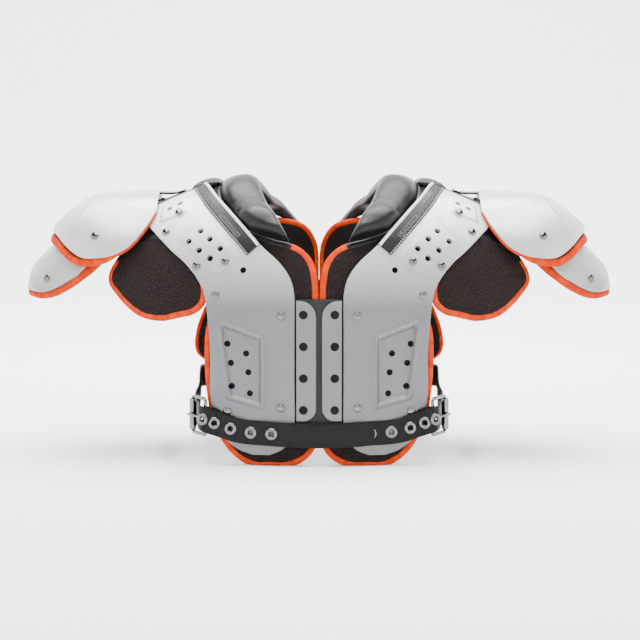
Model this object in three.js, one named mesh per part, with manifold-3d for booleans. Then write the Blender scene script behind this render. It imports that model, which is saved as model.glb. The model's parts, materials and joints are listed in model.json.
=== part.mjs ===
// Football shoulder pads: hard plates over cushions, with epaulets, shoulder cups, deltoid pads and belts.
// Millimetres, +Z up, the wearer faces -Y and the wearer's left is +X. The pads stand on the cushion tips.
import * as THREE from 'three';
import { mergeVertices } from 'three/addons/utils/BufferGeometryUtils.js';
import Module from 'manifold-3d';

const wasm = await Module();
wasm.setup();

// Driving dimensions of the body form that the plates and cushions are moulded over
const FORM_HALF_WIDTH = 263;
const FORM_HALF_DEPTH = 134;
const SHOULDER_LINE_Z = 177;
const CROWN_RISE = 127;
// Height runs on over the crown as arc length, on an arc of the form's mean radius
const CROWN_ARC_RADIUS = (FORM_HALF_DEPTH + CROWN_RISE) / 2;

// Walls and clearances
const SEAT_GAP = 0.3;
const CUSHION_GAP = 0.9;
const PLATE_WALL = 3;
const PAD_DEPTH = 13;
const PAD_EDGE_DEPTH = 6;
const ARCH_PAD_DEPTH = 11;
const FLAP_WALL = 3;
const FLAP_PAD_DEPTH = 7.6;
const FLAP_PAD_EDGE_DEPTH = 4.5;
const DELTOID_DEPTH = 10;
const DELTOID_GAP = 0.7;
const STRAP_THICKNESS = 2;
// The cushion tips are cut flat this far up, so that they stand on real faces
const FOOT_FLAT = 0.5;

// Vent holes and the raised panels that carry them
const VENT_DIAMETER = 6.4;
const PANEL_RISE = 1.4;
const PANEL_BORDER = 3.2;
const PANEL_SINK = 0.9;

// Bridge over the breastbone and its twin over the spine
const BRIDGE_GAP = 6;
const BRIDGE_STRIP_WIDTH = 20.6;
const BRIDGE_STRIP_THICKNESS = 2.6;
const BRIDGE_LOW_Z = 47;
const BRIDGE_HIGH_Z = 172;
const BRIDGE_BACKING_THICKNESS = 1.6;
const BRIDGE_SCREWS = 4;
const BRIDGE_SCREW_SPACING = 33;
const BRIDGE_SCREW_HOLE = 5;

// Belt and roller buckle
const BELT_WIDTH = 25.4;
const BELT_THICKNESS = 2.4;
const BELT_CENTRE_Z = 32;
const BELT_HOLE_DIAMETER = 5.6;
const BELT_HOLE_SPACING = 22;
const BELT_FIRST_HOLE_X = 49;
const BELT_HOLES = 4;
const BELT_SEAT_GAP = 0.5;
const BELT_TIP_TAPER = 5;
const LOWER_BELT_TIP_X = -43;
const UPPER_BELT_TIP_X = -58;
const BELT_STEP = 17;
const BELT_STEP_AT_BUCKLE = 3.5;
const TONGUE_SLOT_LENGTH = 18;
const TONGUE_SLOT_PLAY = 1.8;
const TONGUE_SLOT_DEPTH = 24;
// The heel bar stands at the plate's front corner, and the buckle turns back from there by this angle
const BUCKLE_X = 118;
const BUCKLE_Z = 50;
const BUCKLE_SETBACK = 10;
const BUCKLE_TURN_DEGREES = 29;
const HEEL_BAR_Y = BUCKLE_SETBACK - FORM_HALF_DEPTH;
const BUCKLE_REACH = 30;
const BUCKLE_OPENING_HEIGHT = 34;
const BUCKLE_WIRE = 3.6;
const BUCKLE_CORNER = 4;
const ROLLER_DIAMETER = 7.6;
const BAR_BORE_DIAMETER = 5.8;
const TONGUE_DIAMETER = 2.8;
const TONGUE_RING_DIAMETER = 8;
const TONGUE_RING_HEIGHT = 5.4;
const TONGUE_ROOM = 7;
const CHAPE_HEIGHT = 22;
const CHAPE_RING_DIAMETER = 9.2;
const CHAPE_THICKNESS = 1.8;
const BAR_SIDES = 12;

// Way of the belt, as [x, height] on the front, then by the buckle as [out of its plane, along it from the
// heel bar, height], then along the side as [x from the heel bar, y from it, height]
const BELT_FRONT_STEP = 22;
const BELT_FRONT_END_X = 56;
const BELT_SETTLED = [74, 35.1];
const BELT_SETTLED_SHARE = 0.3;
// As [x, height, play over the buckle's strap]
const BELT_FRONT_CLIMB = [[86, 37.2, 0], [95, 39.8, 0.3], [104, 42.7, 1]];
const BELT_TO_HEEL = [[-2.6, -7.9, 45.5], [3.8, -6.6, 48]];
const BELT_PAST_HEEL = { inward: 2, along: 8 };
const BELT_TO_ROLLER = { outward: 1.6, before: 7 };
const BELT_ALONG_SIDE = [[12.5, 41, 51.5], [14, 75, 54], [12.4, 114, 58], [14.4, 174, 65]];
// The same from the back of the form, as [x, y in from the back, height]
const BELT_TO_BACK = [[133.5, 44, 67], [130.8, 25, 66], [121.8, 14.6, 63.5]];
const BELT_BACK_CLIMB = [[108, 59], [94, 53], [80, 48]];

// Way of the strap that holds the buckle, as x on the front, then as [x from the heel bar, y from it]
const CHAPE_FRONT_X = [90, 98, 105];
const CHAPE_TO_HEEL = [[-7.5, -0.6], [-4, -0.2]];

// Epaulet and cup domes, each part of an ellipsoid
const EPAULET_HINGE_X = 172;
const EPAULET_TIP_X = 288;
const EPAULET_LENGTH = EPAULET_TIP_X - EPAULET_HINGE_X;
const EPAULET_DOME = { x: EPAULET_HINGE_X + 19, z: 199.7, rx: EPAULET_LENGTH - 6.2, ry: 90.7, rz: 81.2 };
const CUP_DOME = { x: EPAULET_HINGE_X + 33.3, z: 161.9, rx: EPAULET_LENGTH - 2.8, ry: 81.2, rz: 86 };
const EPAULET_PAD_START = 17;
const EPAULET_PAD_TIP_HEM = 3.5;
const EPAULET_PAD_HEM_DEGREES = 5;
const CUP_PAD_HEM_DEGREES = 2.6;
const EPAULET_STRAP_HALF_WIDTH = 19;
const CUP_STRAP_HALF_WIDTH = 13;
const CUP_STRAP_START = 32;
const CUP_STRAP_SEWN = 8;
const CUP_STRAP_STRAIGHT = 7;

// Neck roll
const NECK_ROLL_RISE = 20;
const NECK_ROLL_EDGE = 6;
const NECK_ROLL_SINK = 14;
const NECK_ROLL_STEPS = 19;
const NECK_ROLL_COLUMNS = 7;

// Layers, as offsets outwards from the body form
const PLATE_LAYER = 0;
const BACK_LAYER = -PLATE_WALL - SEAT_GAP;
const FRONT_PAD_LAYER = PLATE_LAYER - PLATE_WALL - CUSHION_GAP;
const BACK_PAD_LAYER = BACK_LAYER - PLATE_WALL - CUSHION_GAP;
const FRONT_DELTOID_LAYER = PLATE_LAYER - PLATE_WALL - DELTOID_GAP;
const BACK_DELTOID_LAYER = BACK_LAYER - PLATE_WALL - DELTOID_GAP;
const BRIDGE_LAYER = PLATE_LAYER - PLATE_WALL + BRIDGE_BACKING_THICKNESS + SEAT_GAP + BRIDGE_STRIP_THICKNESS;

const FRONT = -1;
const BACK = 1;

const COLOURS = {
  plate: { color: 0xb4b5b8, roughness: 0.42, metalness: 0.1 },
  flap: { color: 0xc4c6c9, roughness: 0.38, metalness: 0.1 },
  mesh: { color: 0x2e2624, roughness: 0.95, metalness: 0 },
  foam: { color: 0xd9441e, roughness: 0.85, metalness: 0 },
  vinyl: { color: 0x151517, roughness: 0.45, metalness: 0 },
  webbing: { color: 0x3a3a3a, roughness: 0.9, metalness: 0 },
  steel: { color: 0xd5d7da, roughness: 0.2, metalness: 1 },
};

function finish(name) {
  return new THREE.MeshStandardMaterial(COLOURS[name]);
}

function radians(degrees) {
  return THREE.MathUtils.degToRad(degrees);
}

function lerp(from, to, share) {
  return from + (to - from) * share;
}

// Booleans on closed meshes

function toSolid(geometry) {
  const bare = geometry.clone();
  bare.deleteAttribute('normal');
  bare.deleteAttribute('uv');
  const merged = mergeVertices(bare, 1e-4);
  const vertProperties = new Float32Array(merged.attributes.position.array);
  const triVerts = new Uint32Array(merged.index.array);
  return new wasm.Manifold(new wasm.Mesh({ numProp: 3, vertProperties, triVerts }));
}

function toGeometry(solid) {
  const mesh = solid.getMesh();
  const geometry = new THREE.BufferGeometry();
  geometry.setAttribute('position', new THREE.BufferAttribute(new Float32Array(mesh.vertProperties), 3));
  geometry.setIndex(new THREE.BufferAttribute(new Uint32Array(mesh.triVerts), 1));
  return geometry;
}

function cutAll(geometry, cutters) {
  let solid = toSolid(geometry);
  for (const cutter of cutters) {
    solid = solid.subtract(toSolid(cutter));
  }
  return toGeometry(solid);
}

function joinAll(geometry, additions) {
  let solid = toSolid(geometry);
  for (const addition of additions) {
    solid = solid.add(toSolid(addition));
  }
  return toGeometry(solid);
}

// A closed mesh from point rings or sheets, turned outside out if its faces came out reversed

function closedMesh(points, triangles) {
  let volume = 0;
  const [a, b, c] = [new THREE.Vector3(), new THREE.Vector3(), new THREE.Vector3()];
  for (const [i, j, k] of triangles) {
    a.copy(points[i]);
    b.copy(points[j]);
    c.copy(points[k]);
    volume += a.dot(b.cross(c));
  }
  const index = triangles.flatMap(([i, j, k]) => (volume > 0 ? [i, j, k] : [i, k, j]));
  const geometry = new THREE.BufferGeometry();
  const position = points.flatMap((p) => [p.x, p.y, p.z]);
  geometry.setAttribute('position', new THREE.Float32BufferAttribute(position, 3));
  geometry.setIndex(index);
  return geometry;
}

// A wall between two surfaces over the same grid. outer and inner give a point for a row and a column.
function wallBetween(rows, columns, outer, inner) {
  const points = [];
  const at = (row, column, layer) => (row * columns + column) * 2 + layer;
  for (let row = 0; row < rows; row += 1) {
    for (let column = 0; column < columns; column += 1) {
      points.push(outer(row, column), inner(row, column));
    }
  }
  const triangles = [];
  const quad = (a, b, c, d) => triangles.push([a, b, c], [a, c, d]);
  for (let row = 0; row + 1 < rows; row += 1) {
    for (let column = 0; column + 1 < columns; column += 1) {
      quad(at(row, column, 0), at(row, column + 1, 0), at(row + 1, column + 1, 0), at(row + 1, column, 0));
      quad(at(row, column, 1), at(row + 1, column, 1), at(row + 1, column + 1, 1), at(row, column + 1, 1));
    }
    const last = columns - 1;
    quad(at(row, 0, 1), at(row, 0, 0), at(row + 1, 0, 0), at(row + 1, 0, 1));
    quad(at(row, last, 0), at(row, last, 1), at(row + 1, last, 1), at(row + 1, last, 0));
  }
  for (let column = 0; column + 1 < columns; column += 1) {
    const last = rows - 1;
    quad(at(0, column, 0), at(0, column, 1), at(0, column + 1, 1), at(0, column + 1, 0));
    quad(at(last, column, 1), at(last, column, 0), at(last, column + 1, 0), at(last, column + 1, 1));
  }
  return closedMesh(points, triangles);
}

// Rings of points joined along a path and closed at both ends
function ringLoft(rings) {
  const points = rings.flat();
  const sides = rings[0].length;
  const triangles = [];
  for (let ring = 0; ring + 1 < rings.length; ring += 1) {
    for (let side = 0; side < sides; side += 1) {
      const next = (side + 1) % sides;
      const [a, b] = [ring * sides + side, ring * sides + next];
      triangles.push([a, b, b + sides], [a, b + sides, a + sides]);
    }
  }
  const last = (rings.length - 1) * sides;
  for (let side = 1; side + 1 < sides; side += 1) {
    triangles.push([0, side + 1, side], [last, last + side, last + side + 1]);
  }
  return closedMesh(points, triangles);
}

// The body form. Height runs up the wall to the shoulder line, then on over the crown as arc length.

function formAngle(height) {
  return Math.max(0, height - SHOULDER_LINE_Z) / CROWN_ARC_RADIUS;
}

// The height of a place that lies this many degrees over the crown, 90 at the crest
function over(degrees) {
  return SHOULDER_LINE_Z + CROWN_ARC_RADIUS * radians(degrees);
}

function onForm(face, x, height, offset) {
  const narrowing = Math.sqrt(1 - (x / FORM_HALF_WIDTH) ** 2);
  const angle = formAngle(height);
  const y = face * FORM_HALF_DEPTH * narrowing * Math.cos(angle);
  const rise = CROWN_RISE * narrowing * Math.sin(angle);
  const z = Math.min(height, SHOULDER_LINE_Z) + rise;
  const steepness = [x / FORM_HALF_WIDTH ** 2, y / FORM_HALF_DEPTH ** 2, rise / CROWN_RISE ** 2];
  const normal = new THREE.Vector3(...steepness);
  return new THREE.Vector3(x, y, z).addScaledVector(normal.normalize(), offset);
}

function formNormal(face, x, height) {
  return onForm(face, x, height, 1).sub(onForm(face, x, height, 0)).normalize();
}

// An outline as two edges of [x, height] points, read at the same share of their length
function edgePair(inner, outer) {
  const curve = (points) => new THREE.SplineCurve(points.map(([x, height]) => new THREE.Vector2(x, height)));
  return { inner: curve(inner), outer: curve(outer) };
}

function gridPoint(edges, row, rows, column, columns) {
  const start = edges.inner.getPoint(row / (rows - 1));
  const end = edges.outer.getPoint(row / (rows - 1));
  return start.lerp(end, column / (columns - 1));
}

function formedWall(face, edges, rows, columns, outerOffset, innerOffset) {
  const place = (offset) => (row, column) => {
    const flat = gridPoint(edges, row, rows, column, columns);
    return onForm(face, flat.x, flat.y, offset(row / (rows - 1), column / (columns - 1)));
  };
  return wallBetween(rows, columns, place(outerOffset), place(innerOffset));
}

function peg(centre, direction, diameter, reach) {
  const sides = 6;
  const geometry = new THREE.CylinderGeometry(diameter / 2, diameter / 2, reach, sides);
  const upright = new THREE.Vector3(0, 1, 0);
  geometry.applyQuaternion(new THREE.Quaternion().setFromUnitVectors(upright, direction));
  return geometry.translate(centre.x, centre.y, centre.z);
}

function punch(face, x, height, diameter) {
  return peg(onForm(face, x, height, 0), formNormal(face, x, height), diameter, 16);
}

// Outlines on the form, inner edge then outer edge, from the bottom tip to the crest

const FRONT_PLATE_EDGES = edgePair(
  [[52, 11], [38, 17], [29, 29], [25, 47], [25, 78], [25, 110], [25, 142], [25, 173], [29, over(7.5)],
    [40, over(15.4)], [58, over(23.8)], [75, over(33.1)], [88, over(42.3)], [103, over(53.8)],
    [113, over(66.6)], [121, over(79.3)]],
  [[73, 11], [88, 18], [101, 29], [110.5, 46], [113.5, 75], [113.5, 110], [115, 142], [119, 175],
    [125.5, over(7.5)], [139, over(17.2)], [154, over(25.6)], [166, over(34.4)], [174, over(41.4)],
    [180, over(48.5)], [181, over(59.5)], [176, over(70.1)]],
);

const BACK_PLATE_EDGES = edgePair(
  [[52, 11], [38, 17], [29, 29], [25, 47], [25, 78], [25, 110], [25, 142], [25, over(1.3)],
    [30, over(12.8)], [44, over(22.5)], [64, over(32.2)], [84, over(42.8)], [104, over(55.1)],
    [124, over(69.2)], [138, over(83.3)], [144, over(100)]],
  [[76, 11], [94, 18], [108, 30], [118, 48], [122, 75], [124, 110], [126, 142], [130, 175],
    [137, over(9.3)], [149, over(19)], [161, over(27.8)], [171, over(36.6)], [178, over(45.4)],
    [182, over(56)], [183, over(75.4)], [180, over(100)]],
);

const FRONT_PAD_EDGES = edgePair(
  [[44, -FOOT_FLAT], [26, 2.5], [12, 11], [4.5, 26], [3.6, 60], [3.6, 100], [3.6, 140], [3.6, 176],
    [6.5, over(12.8)], [14, over(19.8)], [27, over(24.2)], [48, over(26.9)], [73, over(32.2)],
    [90, over(41)], [101, over(52.4)]],
  [[60, -FOOT_FLAT], [80, 4], [98, 13], [112, 27], [118, 50], [119, 80], [119, 110], [118, 138], [112, 160],
    [109, over(2.2)], [112, over(11)], [126, over(20.7)], [144, over(29.5)], [153, over(37.5)],
    [152, over(47.2)]],
);

const BACK_PAD_EDGES = edgePair(
  [[44, -FOOT_FLAT], [26, 2.5], [12, 11], [4.5, 26], [3.6, 60], [3.6, 100], [3.6, 140], [3.6, over(4)],
    [4.5, over(17.2)], [12.5, over(26.9)], [25, over(32.2)], [50, over(35.3)], [73, over(38.8)],
    [90, over(45.4)], [101, over(53.3)]],
  [[62, -FOOT_FLAT], [84, 5], [104, 18], [118, 38], [123, 62], [127, 82], [141, 91], [142, 112], [132, 142],
    [116, 168], [114, over(8.4)], [126, over(20.7)], [140, over(30.4)], [152, over(38.3)],
    [155, over(46.3)]],
);

// Vents of a plate, as [x, height] on the form
const UPPER_VENTS = [[122.8, over(34.8)], [135, over(29.5)], [113, over(29.5)], [124, over(23.8)],
  [102, over(23.8)], [112.5, over(19)]];
const LONE_VENT = [78.5, over(12.6)];
const CREST_VENTS = [[157.5, over(57.3)], [146.5, over(59.5)]];
const LOWER_VENTS = [[95.3, 126.5], [75.8, 116.8], [91.7, 106.7], [73.5, 97.2], [90.7, 82.5], [72, 75.2]];

const UPPER_PANEL_EDGES = edgePair(
  [[84, over(19.8)], [104, over(11.5)]],
  [[124, over(43.6)], [146, over(31.7)]],
);
const CREST_PANEL_EDGES = edgePair(
  [[138, over(50.7)], [138, over(65.7)]],
  [[168, over(47.2)], [166, over(63)]],
);

function lowerPanelEdges(inset) {
  return edgePair(
    [[60 + inset, 62 + inset], [60 + inset, 131 - inset]],
    [[93 - inset, 73 + inset], [104 - inset, 148 - 1.6 * inset]],
  );
}

function raisedPatch(face, edges, from, to) {
  return formedWall(face, edges, 4, 4, () => to, () => from);
}

function bodyPlate(face, edges, layer) {
  const outline = formedWall(face, edges, 18, 8, () => layer, () => layer - PLATE_WALL);
  const root = layer - PLATE_WALL / 2;
  const panels = [UPPER_PANEL_EDGES, lowerPanelEdges(0)];
  const vents = [...UPPER_VENTS, ...LOWER_VENTS];
  if (face === FRONT) {
    panels.push(CREST_PANEL_EDGES);
    vents.push(LONE_VENT, ...CREST_VENTS);
  }
  const raised = joinAll(outline, panels.map((panel) => raisedPatch(face, panel, root, layer + PANEL_RISE)));
  const floor = layer - PANEL_SINK;
  return cutAll(raised, [
    raisedPatch(face, lowerPanelEdges(PANEL_BORDER), floor, layer + 2 * PANEL_RISE),
    ...vents.map(([x, height]) => punch(face, x, height, VENT_DIAMETER)),
  ]);
}

// A cushion is full in the middle and drawn in to its bound edge, with channels pressed across it

function cushionDepth(along, across, full, channels) {
  const toEdge = Math.min(across, 1 - across, along, 1 - along);
  const crown = Math.sin(Math.min(1, toEdge / 0.22) * (Math.PI / 2));
  const pressed = 1 - 0.22 * Math.abs(Math.cos(along * channels * Math.PI)) ** 6;
  return PAD_EDGE_DEPTH + (full - PAD_EDGE_DEPTH) * crown * pressed;
}

function bodyPad(face, edges, layer) {
  const channels = 5;
  const depth = (along, across) => layer - cushionDepth(along, across, PAD_DEPTH, channels);
  const cushion = formedWall(face, edges, 16, 8, () => layer, depth);
  const floorSize = 400;
  const floorDepth = 40;
  const floor = new THREE.BoxGeometry(floorSize, floorSize, floorDepth).translate(0, 0, -floorDepth / 2);
  return cutAll(cushion, [floor]);
}

function archPad(layer) {
  const inner = [[104, over(57.7)], [107, over(69.2)], [109, over(84.2)], [109, over(98.3)],
    [107, over(111.5)], [103, over(122.1)]];
  const outer = [[155, over(54.2)], [161, over(66.6)], [165, over(84.2)], [165, over(98.3)],
    [162, over(113.3)], [158, over(126.5)]];
  const seat = layer - CUSHION_GAP / 2;
  const bottom = (along, across) => seat - cushionDepth(along, across, ARCH_PAD_DEPTH, 3);
  return formedWall(FRONT, edgePair(inner, outer), 10, 6, () => seat, bottom);
}

function collarPad(layer) {
  const inner = [[107, over(84.2)], [107, over(94.8)], [103, over(107.1)], [96, over(117.7)]];
  const outer = [[139, over(84.2)], [134, over(94.8)], [122, over(107.1)], [107, over(117.7)]];
  const rise = 9;
  const edgeHeight = 2;
  const crown = (along, across) => Math.sin(Math.PI * across) ** 0.5 * Math.sin(Math.PI * along) ** 0.4;
  const top = (along, across) => layer + edgeHeight + rise * crown(along, across);
  return formedWall(FRONT, edgePair(inner, outer), 8, 6, top, () => layer);
}

function smoothStep(from, to, value) {
  return THREE.MathUtils.smoothstep(value, Math.min(from, to), Math.max(from, to));
}

// The neck roll lies on the body pads at its two ends and sinks to the neck opening at the crest
function neckRollSeat(share) {
  const frontSink = smoothStep(0.13, 0.3, share);
  const backSink = 1 - smoothStep(0.7, 0.87, share);
  const seat = lerp(FRONT_PAD_LAYER, BACK_PAD_LAYER, share) + SEAT_GAP + CUSHION_GAP / 2;
  return seat - NECK_ROLL_SINK * Math.min(frontSink, backSink);
}

function neckRollHeight(along, across) {
  const middle = Math.sin(Math.PI * Math.min(1, Math.max(0, across))) ** 0.6;
  const ends = Math.min(1, Math.sin(Math.PI * along) * 4) ** 0.7;
  return NECK_ROLL_EDGE + (NECK_ROLL_RISE - NECK_ROLL_EDGE) * middle * ends;
}

function neckRoll() {
  const inner = [[31, over(26.4)], [42, over(36.6)], [53, over(49.8)], [62, over(67.4)], [67, over(89.9)],
    [61, over(112.4)], [49, over(130)], [35, over(143.2)], [20, over(152.4)]];
  const outer = [[50, over(24.7)], [71, over(33.9)], [89, over(47.2)], [101, over(65.7)], [105, over(89.9)],
    [101, over(112.4)], [90, over(125.6)], [73, over(136.2)], [48, over(146.8)]];
  const seat = (along) => neckRollSeat(along);
  const top = (along, across) => neckRollSeat(along) + neckRollHeight(along, across);
  return formedWall(FRONT, edgePair(inner, outer), NECK_ROLL_STEPS, NECK_ROLL_COLUMNS, top, seat);
}

function neckEdgeStrip() {
  const inner = [[66, over(27.8)], [90, over(43.2)], [107, over(58.6)], [119.5, over(77.1)]];
  const outer = [[79, over(22.5)], [103, over(37.5)], [121, over(54.2)], [133, over(73.6)]];
  const top = () => SEAT_GAP + STRAP_THICKNESS;
  return formedWall(FRONT, edgePair(inner, outer), 9, 3, top, () => SEAT_GAP);
}

// Domed flaps: rows run outwards from the hinge, columns run from the front rim to the back rim

function onEpaulet(x, angle, offset) {
  const dome = EPAULET_DOME;
  const narrowing = Math.sqrt(1 - ((x - dome.x) / dome.rx) ** 2);
  const y = -dome.ry * narrowing * Math.sin(angle);
  const rise = dome.rz * narrowing * Math.cos(angle);
  const normal = new THREE.Vector3((x - dome.x) / dome.rx ** 2, y / dome.ry ** 2, rise / dome.rz ** 2);
  return new THREE.Vector3(x, y, dome.z + rise).addScaledVector(normal.normalize(), offset);
}

function onCup(sweep, angle, offset) {
  const dome = CUP_DOME;
  const reach = Math.sin(sweep) * Math.cos(angle);
  const rise = Math.cos(sweep) * Math.cos(angle);
  const side = -Math.sin(angle);
  const normal = new THREE.Vector3(reach / dome.rx, side / dome.ry, rise / dome.rz).normalize();
  const point = new THREE.Vector3(dome.x + dome.rx * reach, dome.ry * side, dome.z + dome.rz * rise);
  return point.addScaledVector(normal, offset);
}

// The rim of each flap, as [place along the flap, half angle in degrees]. The epaulet's places are typed as
// percents of its length, the cup's are degrees down its dome.
const EPAULET_RIM = [[0, 38], [7.8, 54], [20.7, 69], [35.3, 77], [52.6, 80], [70.7, 78], [85.3, 63],
  [95.7, 37],
  [100, 13]].map(([percent, angle]) => [lerp(EPAULET_HINGE_X, EPAULET_TIP_X, percent / 100), angle]);
const CUP_RIM = [[18, 44], [26, 50], [40, 53], [52, 54], [64, 51], [73, 46], [79, 39], [81, 30]];

function flapWall(surface, rim, rows, columns, outerOffset, innerOffset) {
  const curve = new THREE.SplineCurve(rim.map(([place, angle]) => new THREE.Vector2(place, angle)));
  const place = (offset) => (row, column) => {
    const station = curve.getPoint(row / (rows - 1));
    const across = (2 * column) / (columns - 1) - 1;
    const depth = offset(row / (rows - 1), column / (columns - 1));
    return surface(station.x, radians(station.y) * across, depth);
  };
  return wallBetween(rows, columns, place(outerOffset), place(innerOffset));
}

function onCupDegrees(sweep, angle, offset) {
  return onCup(radians(sweep), angle, offset);
}

function epauletShell() {
  return flapWall(onEpaulet, EPAULET_RIM, 10, 13, () => 0, () => -FLAP_WALL);
}

function flapPadDepth(along, across) {
  const toEdge = Math.min(across, 1 - across, along, 1 - along);
  const crown = Math.sin(Math.min(1, toEdge / 0.25) * (Math.PI / 2));
  return lerp(FLAP_PAD_EDGE_DEPTH, FLAP_PAD_DEPTH, crown);
}

function epauletPad() {
  const start = EPAULET_HINGE_X + EPAULET_PAD_START;
  const share = (EPAULET_TIP_X + EPAULET_PAD_TIP_HEM - start) / EPAULET_LENGTH;
  const hem = EPAULET_PAD_HEM_DEGREES;
  const rim = EPAULET_RIM.map(([x, angle]) => [start + (x - EPAULET_HINGE_X) * share, angle + hem]);
  const top = -FLAP_WALL - CUSHION_GAP;
  return flapWall(onEpaulet, rim, 9, 11, () => top, (along, across) => top - flapPadDepth(along, across));
}

function cupShell() {
  return flapWall(onCupDegrees, CUP_RIM, 9, 9, () => 0, () => -FLAP_WALL);
}

function cupPad() {
  const hem = CUP_PAD_HEM_DEGREES;
  const lowest = CUP_RIM.at(-1)[0];
  const rim = CUP_RIM.map(([sweep, angle]) => [sweep + (sweep / lowest) * hem, angle + hem]);
  const top = -FLAP_WALL - CUSHION_GAP;
  return flapWall(onCupDegrees, rim, 9, 9, () => top, (along, across) => top - flapPadDepth(along, across));
}

// A strap between two lines of a plan or section curve, swept across its width

function ribbon(points, thickness, halfWidth) {
  const curve = new THREE.CatmullRomCurve3(points);
  const steps = 5;
  const across = new THREE.Vector3(0, 1, 0);
  const rings = [];
  for (let step = 0; step <= steps; step += 1) {
    const centre = curve.getPoint(step / steps);
    const normal = new THREE.Vector3().crossVectors(curve.getTangent(step / steps), across).normalize();
    rings.push([[1, 1], [1, -1], [-1, -1], [-1, 1]].map(([wide, thick]) => centre.clone()
      .addScaledVector(across, wide * halfWidth)
      .addScaledVector(normal, (thick * thickness) / 2)));
  }
  return ringLoft(rings);
}

// The strap rises from the back plate to the middle of the epaulet's inner edge, where it flexes
function epauletStrap() {
  const seat = BACK_LAYER + SEAT_GAP + STRAP_THICKNESS / 2;
  const edge = onEpaulet(EPAULET_HINGE_X, 0, -FLAP_WALL / 2);
  const points = [148, 154, 160].map((x) => onForm(FRONT, x, over(90), seat));
  points.push(edge.clone().add(new THREE.Vector3(-5, 0, -0.5)));
  points.push(edge.clone().add(new THREE.Vector3(-2 * SEAT_GAP, 0, 0)));
  return ribbon(points, STRAP_THICKNESS, EPAULET_STRAP_HALF_WIDTH);
}

// The strap runs out under the epaulet's pad to the top edge of the cup, where it flexes
function cupStrap() {
  const underPad = -FLAP_WALL - 2 * CUSHION_GAP - FLAP_PAD_DEPTH - STRAP_THICKNESS / 2;
  const edge = onCupDegrees(CUP_RIM[0][0], 0, -FLAP_WALL / 2);
  const along = edge.clone().sub(onCupDegrees(CUP_RIM[0][0] - 1, 0, -FLAP_WALL / 2)).normalize();
  const points = [
    onEpaulet(EPAULET_HINGE_X + CUP_STRAP_START, 0, underPad - 1),
    onEpaulet(EPAULET_HINGE_X + CUP_STRAP_START + CUP_STRAP_SEWN, 0, underPad - 1),
    edge.clone().addScaledVector(along, -CUP_STRAP_STRAIGHT),
    edge.clone().addScaledVector(along, -2 * SEAT_GAP),
  ];
  return ribbon(points, STRAP_THICKNESS, CUP_STRAP_HALF_WIDTH);
}

// Deltoid pads hang behind the plates from two rivets and swing about the line through them

function deltoidPad(face, layer) {
  const inner = [[124, 166], [121, 176], [122, over(6.6)], [129, over(13.7)], [140, over(21.6)],
    [151, over(29.5)], [163, over(40.5)]];
  const outer = [[172, 153], [196, 160], [214, 176], [221, over(8.4)], [221, over(18.1)], [216, over(27.8)],
    [200, over(40.5)]];
  const channels = 4;
  const depth = (along, across) => layer - cushionDepth(along, across, DELTOID_DEPTH, channels);
  return formedWall(face, edgePair(inner, outer), 9, 7, () => layer, depth);
}

// Bridges

function bridgeStrip(face, layer) {
  const near = BRIDGE_GAP / 2;
  const far = near + BRIDGE_STRIP_WIDTH;
  const edges = edgePair(
    [[near + 5, BRIDGE_LOW_Z], [near + 0.5, BRIDGE_LOW_Z + 5], [near, (BRIDGE_LOW_Z + BRIDGE_HIGH_Z) / 2],
      [near + 0.5, BRIDGE_HIGH_Z - 7], [near + 7, BRIDGE_HIGH_Z]],
    [[far, BRIDGE_LOW_Z], [far, BRIDGE_LOW_Z + 5], [far, (BRIDGE_LOW_Z + BRIDGE_HIGH_Z) / 2],
      [far, BRIDGE_HIGH_Z - 7], [far, BRIDGE_HIGH_Z]],
  );
  const strip = formedWall(face, edges, 6, 2, () => layer, () => layer - BRIDGE_STRIP_THICKNESS);
  const middle = (BRIDGE_LOW_Z + BRIDGE_HIGH_Z) / 2;
  const holes = [];
  for (let screw = 0; screw < BRIDGE_SCREWS; screw += 1) {
    const height = middle + (screw - (BRIDGE_SCREWS - 1) / 2) * BRIDGE_SCREW_SPACING;
    holes.push(punch(face, near + BRIDGE_STRIP_WIDTH * 0.6, height, BRIDGE_SCREW_HOLE));
  }
  return cutAll(strip, holes);
}

function bridgeBacking(face, layer) {
  const half = BRIDGE_GAP / 2 + BRIDGE_STRIP_WIDTH;
  const edges = edgePair(
    [[-half, BRIDGE_LOW_Z - 1], [-half, BRIDGE_HIGH_Z + 1.5]],
    [[half, BRIDGE_LOW_Z - 1], [half, BRIDGE_HIGH_Z + 1.5]],
  );
  return formedWall(face, edges, 3, 6, () => layer, () => layer - BRIDGE_BACKING_THICKNESS);
}

// A place by the buckle: out of its plane, along it from the heel bar, and its height
function byBuckle(out, along, height) {
  const turn = radians(BUCKLE_TURN_DEGREES);
  const x = BUCKLE_X + out * Math.cos(turn) + along * Math.sin(turn);
  return new THREE.Vector3(x, HEEL_BAR_Y - out * Math.sin(turn) + along * Math.cos(turn), height);
}

// Moves a piece that is built about the heel bar into its place by the buckle
function setAtBuckle(geometry) {
  return geometry.rotateZ(-radians(BUCKLE_TURN_DEGREES)).translate(BUCKLE_X, HEEL_BAR_Y, BUCKLE_Z);
}

// Belts

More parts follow.
